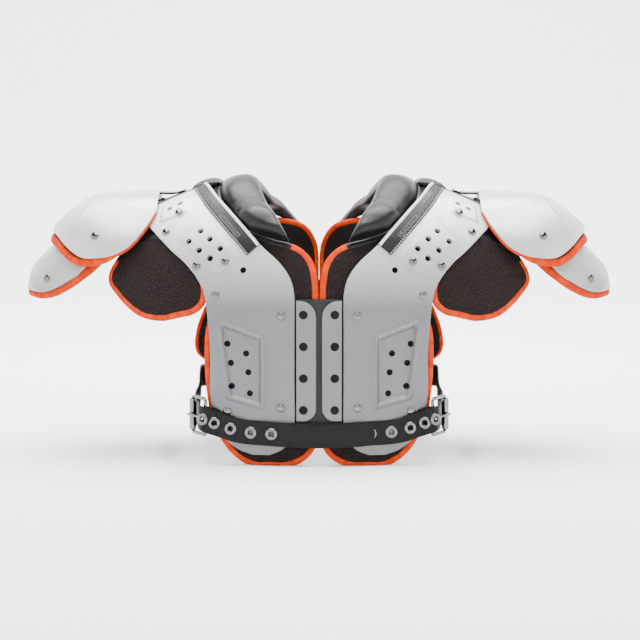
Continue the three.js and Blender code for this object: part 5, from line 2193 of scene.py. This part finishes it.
@dataclass
class Bridge:
    """The dark sheet over the breastbone or spine, with its two screwed strips."""

    face: Face
    gap: float = 6.0
    strip_width: float = 20.6
    strip_thickness: float = 2.6
    low: float = 47.0
    high: float = 172.0
    sheet_thickness: float = 1.6
    screw_spacing: float = 33.0
    screws: int = 4

    @property
    def plate_under(self) -> float:
        """The layer of the underside of the plates on this face."""
        return (0.0 if self.face is Face.FRONT else BACK_LAYER) - PLATE_THICKNESS

    def strip_outline(self) -> Tuple[Tuple[Flat, ...], Tuple[Flat, ...]]:
        """Inner edge with its rounded corners, and straight outer edge.

        Returns:
            The corners of the inner edge and of the outer edge.
        """
        near, far = self.gap / 2, self.gap / 2 + self.strip_width
        low_turn, high_turn = 13.0, 17.0
        bottom = [(near + low_turn * (1 - math.sin(a)), self.low + low_turn * (1 - math.cos(a)))
                  for a in np.linspace(0, math.pi / 2, 9)]
        top = [(near + high_turn * (1 - math.sin(a)), self.high - high_turn * (1 - math.cos(a)))
               for a in np.linspace(math.pi / 2, 0, 9)]
        return tuple(bottom + top), ((far, self.low), (far, self.high))

    def strip(self) -> Shell:
        """One silver strip, as a wall whose inner edge has its corners turned.

        Returns:
            The strip's shell.
        """
        inner, outer = self.strip_outline()
        points = np.array(inner)
        marks = np.concatenate([points[:9], np.stack([np.full(20, points[8][0]),
                                                      np.linspace(points[8][1], points[9][1], 22)[1:-1]],
                                                     axis=1), points[9:]])
        across = edge_shares(10, 0.05)[None, :]
        far = np.stack([np.full(len(marks), outer[0][0]), marks[:, 1]], axis=1)
        place = marks[:, None, :] + (far - marks)[:, None, :] * across[..., None]
        rows = np.linspace(0, 1, len(marks))[:, None]
        drop = np.maximum(rim_round(across, 0.05, 1.0), rim_round(rows, 0.02, 0.8))
        top = self.plate_under + self.sheet_thickness + BACKING_GAP + self.strip_thickness
        return wall(FORM.at(self.face.sign, place[..., 0], place[..., 1], top - drop),
                    FORM.at(self.face.sign, place[..., 0], place[..., 1],
                            top - self.strip_thickness + 0 * drop))

    def build_side(self, side: Side, finishes: Finishes, trim: Trim) -> None:
        """Builds one strip and its screws.

        Args:
            side: The wearer's side.
            finishes: The materials.
            trim: The recipes of small pieces.
        """
        node = f"{side.word}_{self.face.word}_bridge_strip"
        dress(self.strip(), node + "_moulding", side, finishes.plate, "torso", "plate", node, crease=45)
        top = self.plate_under + self.sheet_thickness + BACKING_GAP + self.strip_thickness
        middle = (self.low + self.high) / 2 - 1.5
        heights = [middle + (index - (self.screws - 1) / 2) * self.screw_spacing
                   for index in range(self.screws)]
        x = self.gap / 2 + self.strip_width * 0.64
        spots = np.array([FORM.at(self.face.sign, x, height, top - 0.1) for height in heights])
        out = np.array([FORM.out(self.face.sign, x, height) for height in heights])
        heads = trim.screws.apply(node + "_screws", spots, out,
                                  SCREW_SIZES, side)
        settle(heads, "torso", "steel")

    def build_sheet(self, finishes: Finishes) -> None:
        """Builds the backing sheet with its turned top hem.

        Args:
            finishes: The materials.
        """
        node = f"{self.face.word}_bridge_backing"
        half = self.gap / 2 + self.strip_width
        x = np.linspace(-half, half, 40)[None, :]
        height = np.concatenate([np.linspace(self.low - 4, self.high - 2, 50),
                                 np.linspace(self.high - 1.6, self.high + 1.5, 8)])[:, None]
        hem = 0.35 * smooth_step(self.high - 1.9, self.high - 1.2, height)
        top = self.plate_under + self.sheet_thickness
        sheet = wall(FORM.at(self.face.sign, x, height, top + hem - 0.2),
                     FORM.at(self.face.sign, x, height, top - self.sheet_thickness + 0 * hem))
        dress(sheet, node + "_sheet", Side.LEFT, finishes.backing, "torso", "webbing", node, crease=50)


# ---------------------------------------------------------------- belts and buckles


@dataclass
class Buckle:
    """The roller buckle at the plate's front corner: frame, roller, tongue and the strap that holds it.

    Its pieces are built about the heel bar, with x out of the buckle's plane and y along it, and are then
    turned back along the wearer's side.
    """

    x: float = 118.0
    y: float = -124.0
    z: float = 50.0
    turn: float = math.radians(29.0)
    reach: float = 30.0
    opening: float = 34.0
    wire: float = 3.6
    roller_diameter: float = 7.6
    bore: float = 5.8
    loop_height: float = 22.0
    loop_diameter: float = 9.2
    loop_thickness: float = 1.8
    loop_gap: float = 6.4
    corner: float = 3.4
    lip: float = 0.35
    prong_radius: float = 1.4
    eye_diameter: float = 8.0
    eye_height: float = 5.4

    def by(self, out: float, along: float, height: float) -> Array:
        """A point out of the buckle's plane and along it from the heel bar, at a height over the floor."""
        return np.array([self.x + out * math.cos(self.turn) + along * math.sin(self.turn),
                         self.y - out * math.sin(self.turn) + along * math.cos(self.turn), height])

    def placed(self, shell: Shell) -> Shell:
        """Moves a shell that was built about the heel bar into its place.

        Args:
            shell: The shell.

        Returns:
            The same shell, moved.
        """
        out, along, up = shell.points.T
        shell.points = self.by(out, along, up + self.z).T
        return shell

    def build(self, side: Side, finishes: Finishes) -> None:
        """Builds the buckle's pieces on one side.

        Args:
            side: The wearer's side.
            finishes: The materials.
        """
        word, steel = side.word, finishes.steel
        dress(self.placed(self.frame()), f"{word}_buckle_frame_wire", side, steel, f"{word}_buckle",
              "steel", f"{word}_buckle_frame")
        roller = self.placed(self.sleeve(self.roller_diameter, self.opening - 2, self.reach))
        dress(roller, f"{word}_buckle_roller_tube", side, steel, f"{word}_roller", "steel",
              f"{word}_buckle_roller", crease=40)
        dress(self.placed(self.tongue()), f"{word}_buckle_tongue_prong", side, steel, f"{word}_tongue",
              "steel", f"{word}_buckle_tongue")
        eye = self.placed(self.sleeve(self.eye_diameter, self.eye_height, 0.0))
        dress(eye, f"{word}_buckle_tongue_eye", side, steel, f"{word}_tongue", "steel", crease=40)
        self.build_strap(side, finishes)

    def frame(self) -> Shell:
        """A rounded rectangle of wire.

        Returns:
            The frame's shell, about the heel bar.
        """
        half_y, half_z, turn = self.reach / 2, (self.opening + self.wire) / 2, self.corner
        corners = []
        for centre_y, centre_z, start in ((half_y - turn, half_z - turn, 0.0),
                                          (-half_y + turn, half_z - turn, 0.5),
                                          (-half_y + turn, -half_z + turn, 1.0),
                                          (half_y - turn, -half_z + turn, 1.5)):
            for step in np.linspace(start, start + 0.5, 7):
                corners.append((centre_y + turn * math.cos(step * math.pi),
                                centre_z + turn * math.sin(step * math.pi)))
        flat = resample(np.array(corners), 1.6, closed=True)
        path = np.stack([np.zeros(len(flat)), flat[:, 0] + half_y, flat[:, 1]], axis=1)
        return tube(path, np.tile([1.0, 0, 0], (len(path), 1)), self.wire / 2, self.wire / 2, closed=True,
                    sides=14, squareness=2.6)

    def sleeve(self, diameter: float, height: float, along: float) -> Shell:
        """An upright tube round a bar, with rounded lips.

        Args:
            diameter: Its outer diameter.
            height: Its height.
            along: How far it stands from the heel bar.

        Returns:
            The tube's shell.
        """
        outer, inner, half, lip = diameter / 2, self.bore / 2, height / 2, self.lip
        profile = [(inner, -half + lip), (inner + lip, -half), (outer - lip, -half), (outer, -half + lip),
                   (outer, 0.0), (outer, half - lip), (outer - lip, half), (inner + lip, half),
                   (inner, half - lip), (inner, 0.0)]
        turn = np.arange(36) * 2 * math.pi / 36
        rings = np.array([[(r * math.cos(a), along + r * math.sin(a), h) for r, h in profile] for a in turn])
        return loft(rings, closed=True)

    def tongue(self) -> Shell:
        """The bent prong from its eye to its rest on the roller.

        Returns:
            The tongue's shell, about the heel bar.
        """
        rest = self.roller_diameter / 2 + self.prong_radius + 0.3
        points = [(3.3, 1.2, 0.0), (4.6, 8, 0.0), (rest + 0.2, 18, 0.0), (rest, self.reach + 3, 0.0)]
        path = centripetal(points, 10)
        share = np.linspace(0, 1, len(path))
        blunt = np.sqrt(np.clip(1 - ((share - 0.93) / 0.07) ** 2, 0.05, 1))
        radius = self.prong_radius * np.where(share > 0.93, blunt, 1)
        return tube(path, np.tile([0, 0, 1.0], (len(path), 1)), radius, radius, closed=False, sides=12)

    def build_strap(self, side: Side, finishes: Finishes) -> None:
        """Builds the strap that folds round the heel bar.

        Args:
            side: The wearer's side.
            finishes: The materials.
        """
        seat = 0.6 + self.loop_thickness / 2
        fall = ((90.0, 9.5), (98.0, 7.0), (105.0, 4.5))
        points = [FORM.at(-1.0, x, self.z - drop, seat) for x, drop in fall]
        points += [np.array([self.x - 7.5, self.y - 0.6, self.z - 1]),
                   np.array([self.x - 4, self.y - 0.2, self.z])]
        path = centripetal(points, 7)
        strap = tube(path, np.cross(unit(np.gradient(path, axis=0)), [0, 0, 1.0]), self.loop_height / 2,
                     self.loop_thickness / 2, closed=False, sides=24, squareness=8)
        node = f"{side.word}_buckle_strap"
        dress(strap, node + "_webbing", side, finishes.belt, "torso", "webbing", node, crease=50)
        for index, z in enumerate((-1.0, 1.0)):
            height = (self.loop_height - self.loop_gap) / 2
            part = self.sleeve(self.loop_diameter, height, 0.0)
            part.points = part.points + np.array([0, 0, z * (self.loop_gap / 2 + height / 2)])
            dress(self.placed(part), f"{node}_loop_{index}", side, finishes.belt, "torso", "webbing",
                  crease=40)


@dataclass
class Belt:
    """One half of the belt: from the back plate through the buckle to its eyeletted tail."""

    tip: float
    lift: float
    first_eyelet_x: float = 49.0
    eyelet_runs: Tuple[float, ...] = (0.0, 22.0, 43.5, 62.0, 74.5)
    width: float = 25.4
    thickness: float = 2.4
    eyelet_hole: float = 5.4
    seat_gap: float = 0.5
    side_run: Tuple[Tuple[float, float, float], ...] = (
        (130.5, -83, 51.5), (132, -49, 54), (130.4, -10, 58), (132.4, 50, 65), (133.5, 90, 67),
        (130.8, 109, 66), (121.8, 119.4, 63.5))
    back_run: Tuple[Tuple[float, float, float], ...] = ((108.0, 59.0, 0.3), (94.0, 53.0, 0.0),
                                                        (80.0, 48.0, 0.0))
    slot_half: Tuple[float, float] = (9.4, 3.6)
    slot_along: float = 7.1

    def path(self) -> Array:
        """The middle of the belt from the tip of its tail to its back end.

        Returns:
            The points, evenly spaced.
        """
        buckle = Buckle()
        seat = self.seat_gap + self.thickness / 2
        over = seat + buckle.loop_thickness + 0.9
        heel = buckle.loop_diameter / 2 + 0.3 + self.thickness / 2
        roller = buckle.roller_diameter / 2 + 0.6 + self.thickness / 2

        def front(x: float, height: float, offset: float) -> Array:
            """A point off the front of the form, on either side of the middle."""
            point = FORM.at(-1.0, abs(x), height, offset)
            return np.array([x, point[1], point[2]])

        points = []
        x = self.tip
        while x < 56:
            height = 32 + (max(0.0, abs(x) - 10) / 100) ** 1.4 * 7
            points.append(front(x, height, seat + self.lift))
            x += 22
        points += [front(74, 35.1, seat + self.lift * 0.3), front(86, 37.2, over),
                   front(95, 39.8, over + 0.3), front(104, 42.7, over + 1)]
        points += [buckle.by(out, along, height) for out, along, height in (
            (-2.6, -7.9, 45.5), (3.8, -6.6, 48), (heel + 0.3, 0.5, buckle.z), (heel - 2, 8, buckle.z),
            (1.6 - roller, buckle.reach - 7, buckle.z), (-roller, buckle.reach, buckle.z))]
        points += [np.array(point) for point in self.side_run]
        back = seat + BACK_LAYER
        points += [FORM.at(1.0, x, height, back + lift) for x, height, lift in self.back_run]
        return resample(centripetal(points, 10), 2.2)

    def frames(self, path: Array) -> Tuple[Array, Array]:
        """The directions across the belt and out of its face.

        Args:
            path: The path's points.

        Returns:
            The directions across and out at each point.
        """
        tangent = unit(np.gradient(path, axis=0))
        up = np.array([0.0, 0.0, 1.0])
        wide = unit(up - tangent * tangent[:, 2:3])
        return wide, unit(np.cross(tangent, wide))

    def build(self, side: Side, finishes: Finishes, trim: Trim) -> None:
        """Builds the belt, its eyelets and its stitch rows on one side.

        Args:
            side: The wearer's side.
            finishes: The materials.
            trim: The recipes of small pieces.
        """
        node = f"{side.word}_belt"
        path = self.path()
        wide, out = self.frames(path)
        run = np.concatenate([[0.0], np.cumsum(np.linalg.norm(np.diff(path, axis=0), axis=1))])
        radius = self.width / 2
        end = np.clip(run / radius, 0, 1)
        half = radius * np.sqrt(np.clip(1 - (1 - end) ** 2, 0.02, 1))
        belt = tube(path, out, half, self.thickness / 2, closed=False, sides=28, squareness=7)
        obj = belt.build(node + "_webbing", side)
        start = run[int(np.argmin(np.abs(path[:, 0] - self.first_eyelet_x) + (path[:, 1] > 0) * 1e6))]
        marks = start + np.array(self.eyelet_runs)
        spots = np.stack([np.interp(marks, run, path[:, axis]) for axis in range(3)], axis=1)
        facing = unit(np.stack([np.interp(marks, run, out[:, axis]) for axis in range(3)], axis=1))
        cut_through(obj, [drill(spot, axis, self.eyelet_hole, 8.0, side) for spot, axis in zip(spots, facing)]
                    + [self.tongue_slot(side)])
        crease_sharply(obj, 40)
        wear(obj, finishes.belt)
        settle(obj, "torso", "webbing", node)
        sign = 1.0 if np.mean(facing[:, 1]) < 0 else -1.0
        rings = trim.eyelets.apply(node + "_eyelets", spots + facing * sign * (self.thickness / 2 + 0.2),
                                   facing * sign, EYELET_SIZES, side)
        settle(rings, "torso", "steel")
        for index, place in enumerate((-0.82, 0.82)):
            keep = (run > radius) & (path[:, 0] < 114) & (path[:, 1] < -100)
            line = (path + wide * (radius * place) + out * sign * (self.thickness / 2))[keep]
            row = trim.stitches.apply(f"{node}_stitches_{index}", line,
                                      np.tile([0.0, -1.0, 0.0], (len(line), 1)),
                                      stitch_sizes(0.0036, 0.0012), side, chain=True)
            settle(row, "torso", "webbing")

    def tongue_slot(self, side: Side) -> bpy.types.Object:
        """The cutter of the slot that the buckle's tongue comes through.

        Args:
            side: The wearer's side.

        Returns:
            The cutter object.
        """
        buckle = Buckle()
        path = np.array([[4.0 + reach, self.slot_along, 0.0] for reach in (-12, 0, 12)])
        slot = tube(path, np.tile([0, 0, 1.0], (3, 1)), *self.slot_half, closed=False, sides=24, squareness=5)
        return buckle.placed(slot).build("cutter", side)


# ---------------------------------------------------------------- the whole part and its studio


class Studio:
    """The plain pale floor, soft light and the photograph's camera."""

    elevation = math.radians(5.5)
    distance = 2.483
    target = Vector((0.001, FRAME_SHIFT_Y * MM, 0.1394))
    lens = 128.1
    floor_reach, floor_turn, floor_top = 3.0, 1.2, 2.0
    floor_drop = 0.0006
    air_strength = 0.32
    boxes = (
        ("top_box", (0.0, 0.15, 1.9), (0, 0, 0), 2.4, 205),
        ("front_box", (0.0, -2.3, 1.5), (58, 0, 0), 1.4, 14),
        ("left_box", (-1.9, -0.9, 0.9), (65, 0, -62), 1.0, 7),
        ("right_box", (1.9, -0.9, 0.9), (65, 0, 62), 1.0, 7),
        ("backdrop_box", (0.0, 1.2, 2.1), (38, 0, 0), 1.8, 110),
    )

    def build(self) -> None:
        """Sets up the camera, the floor, the lights and the surroundings."""
        self.camera()
        self.floor()
        self.lights()

    def camera(self) -> None:
        """Places the camera at the photograph's viewing angle."""
        data = bpy.data.cameras.new("photo_camera")
        data.lens = self.lens
        data.sensor_width = 36.0
        data.clip_end = 50
        obj = bpy.data.objects.new("photo_camera", data)
        back = Vector((0.0, -math.cos(self.elevation), math.sin(self.elevation)))
        obj.location = self.target + back * self.distance
        obj.rotation_euler = (math.radians(90) - self.elevation, 0.0, 0.0)
        bpy.context.scene.collection.objects.link(obj)
        bpy.context.scene.camera = obj

    def floor(self) -> None:
        """Builds a pale floor that curves up behind the part on every side."""
        reach, turn, top = self.floor_reach, self.floor_turn, self.floor_top
        profile = [(0.0, 0.0), (1.0, 0.0), (reach - turn, 0.0)]
        profile += [(reach - turn + turn * math.sin(a), turn - turn * math.cos(a))
                    for a in np.linspace(0.1, math.pi / 2, 14)]
        profile.append((reach, top))
        mesh = bpy.data.meshes.new("studio_floor")
        turnings, points, faces = 64, [], []
        for radius, height in profile[1:]:
            for step in range(turnings):
                angle = step * 2 * math.pi / turnings
                points.append((radius * math.cos(angle), radius * math.sin(angle), height - self.floor_drop))
        faces.append(tuple(range(turnings)))
        for ring in range(len(profile) - 2):
            for step in range(turnings):
                after = (step + 1) % turnings
                faces.append((ring * turnings + step, (ring + 1) * turnings + step,
                              (ring + 1) * turnings + after, ring * turnings + after))
        mesh.from_pydata(points, [], faces)
        mesh.polygons.foreach_set("use_smooth", np.ones(len(mesh.polygons), bool))
        obj = bpy.data.objects.new("studio_floor", mesh)
        bpy.context.scene.collection.objects.link(obj)
        nodes = Nodes("pale_floor")
        nodes.shader.inputs["Base Color"].default_value = (0.93, 0.93, 0.93, 1)
        nodes.set(Roughness=0.9, Specular_IOR_Level=0.1)
        wear(obj, nodes.material)

    def lights(self) -> None:
        """Hangs large soft boxes over and before the part."""
        world = bpy.data.worlds.new("studio_air")
        bpy.context.scene.world = world
        world.use_nodes = True
        air = world.node_tree.nodes["Background"]
        air.inputs["Color"].default_value = (1.0, 1.0, 1.0, 1)
        air.inputs["Strength"].default_value = self.air_strength
        for name, place, turn, size, power in self.boxes:
            self.box(name, place, turn, size, power)

    def box(self, name: str, place: Tuple[float, float, float], turn: Tuple[float, float, float],
            size: float, power: float) -> None:
        """Hangs one soft box.

        Args:
            name: The light's name.
            place: Where it hangs.
            turn: How it is turned, in degrees.
            size: Its side, in metres.
            power: Its power, in watts.
        """
        data = bpy.data.lights.new(name, "AREA")
        data.size = size
        data.energy = power
        obj = bpy.data.objects.new(name, data)
        obj.location = place
        obj.rotation_euler = tuple(math.radians(angle) for angle in turn)
        bpy.context.scene.collection.objects.link(obj)


PLATES = (
    MouldedPlate(FRONT_PLATE, 0.0, FRONT_RIVETS),
    MouldedPlate(BACK_PLATE, BACK_LAYER, BACK_RIVETS),
)
FLAPS = (
    DomedFlap(
        "epaulet", EpauletDome(EPAULET_RIM),
        rivets=((0.52, 0.88), (0.12, 0.36), (0.3, 0.3), (0.5, 0.24), (0.7, 0.24), (0.5, 0.12)),
        creases=((0.34, 0.70, 0.9, 0.05, 2.6), (0.62, 0.72, -0.5, 0.06, 2.4),
                 (0.86, 0.62, 0.3, 0.05, 1.6), (0.42, 0.28, -0.8, 0.06, 2.4)),
        hem_share=0.6),
    DomedFlap(
        "cup", CupDome(CUP_RIM),
        rivets=((0.62, 0.86), (0.62, 0.14), (0.35, 0.3)),
        creases=((0.45, 0.66, 0.7, 0.06, 2.0), (0.7, 0.6, -0.5, 0.07, 1.6), (0.5, 0.3, 0.4, 0.07, 1.6)),
        rows=50, columns=60),
)
BELTS = {
    Side.LEFT: Belt(-43.0, 0.0, 53.5, (0.0, 22.0, 42.0, 58.5, 70.0)),
    Side.RIGHT: Belt(-58.0, 2.7),
}


class ShoulderPads:
    """The whole part, built sub-assembly by sub-assembly."""

    def __init__(self) -> None:
        """Makes the finishes and the recipes."""
        self.finishes = Finishes.make()
        self.trim = Trim.make(self.finishes)

    def build(self) -> None:
        """Builds every sub-assembly."""
        works = CushionWorks(cushions())
        works.blow_up()
        works.build(self.finishes)
        for side in Side:
            self.build_side(side)
        for face in Face:
            bridge = Bridge(face)
            bridge.build_sheet(self.finishes)
            for side in Side:
                bridge.build_side(side, self.finishes, self.trim)

    def build_side(self, side: Side) -> None:
        """Builds what each side has.

        Args:
            side: The wearer's side.
        """
        finishes, trim = self.finishes, self.trim
        for piece in PLATES + FLAPS:
            piece.build(side, finishes, trim)
        for face in Face:
            DeltoidTab(face).build(side, finishes)
        NeckRoll().build(side, finishes, trim)
        CollarRoll().build(side, finishes)
        NeckEdgeStrip().build(side, finishes, trim)
        FlexStrap("epaulet_strap", "torso", 19.0).build(side, finishes)
        FlexStrap("cup_strap", "epaulet", 13.0).build(side, finishes)
        Buckle().build(side, finishes)
        BELTS[side].build(side, finishes, trim)


def main() -> None:
    """Loads the frame, builds the part over it and sets the studio."""
    logging.basicConfig(level=logging.INFO, format="%(relativeCreated)d ms %(name)s: %(message)s")
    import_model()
    ShoulderPads().build()
    Studio().build()


if __name__ == "__main__":
    main()
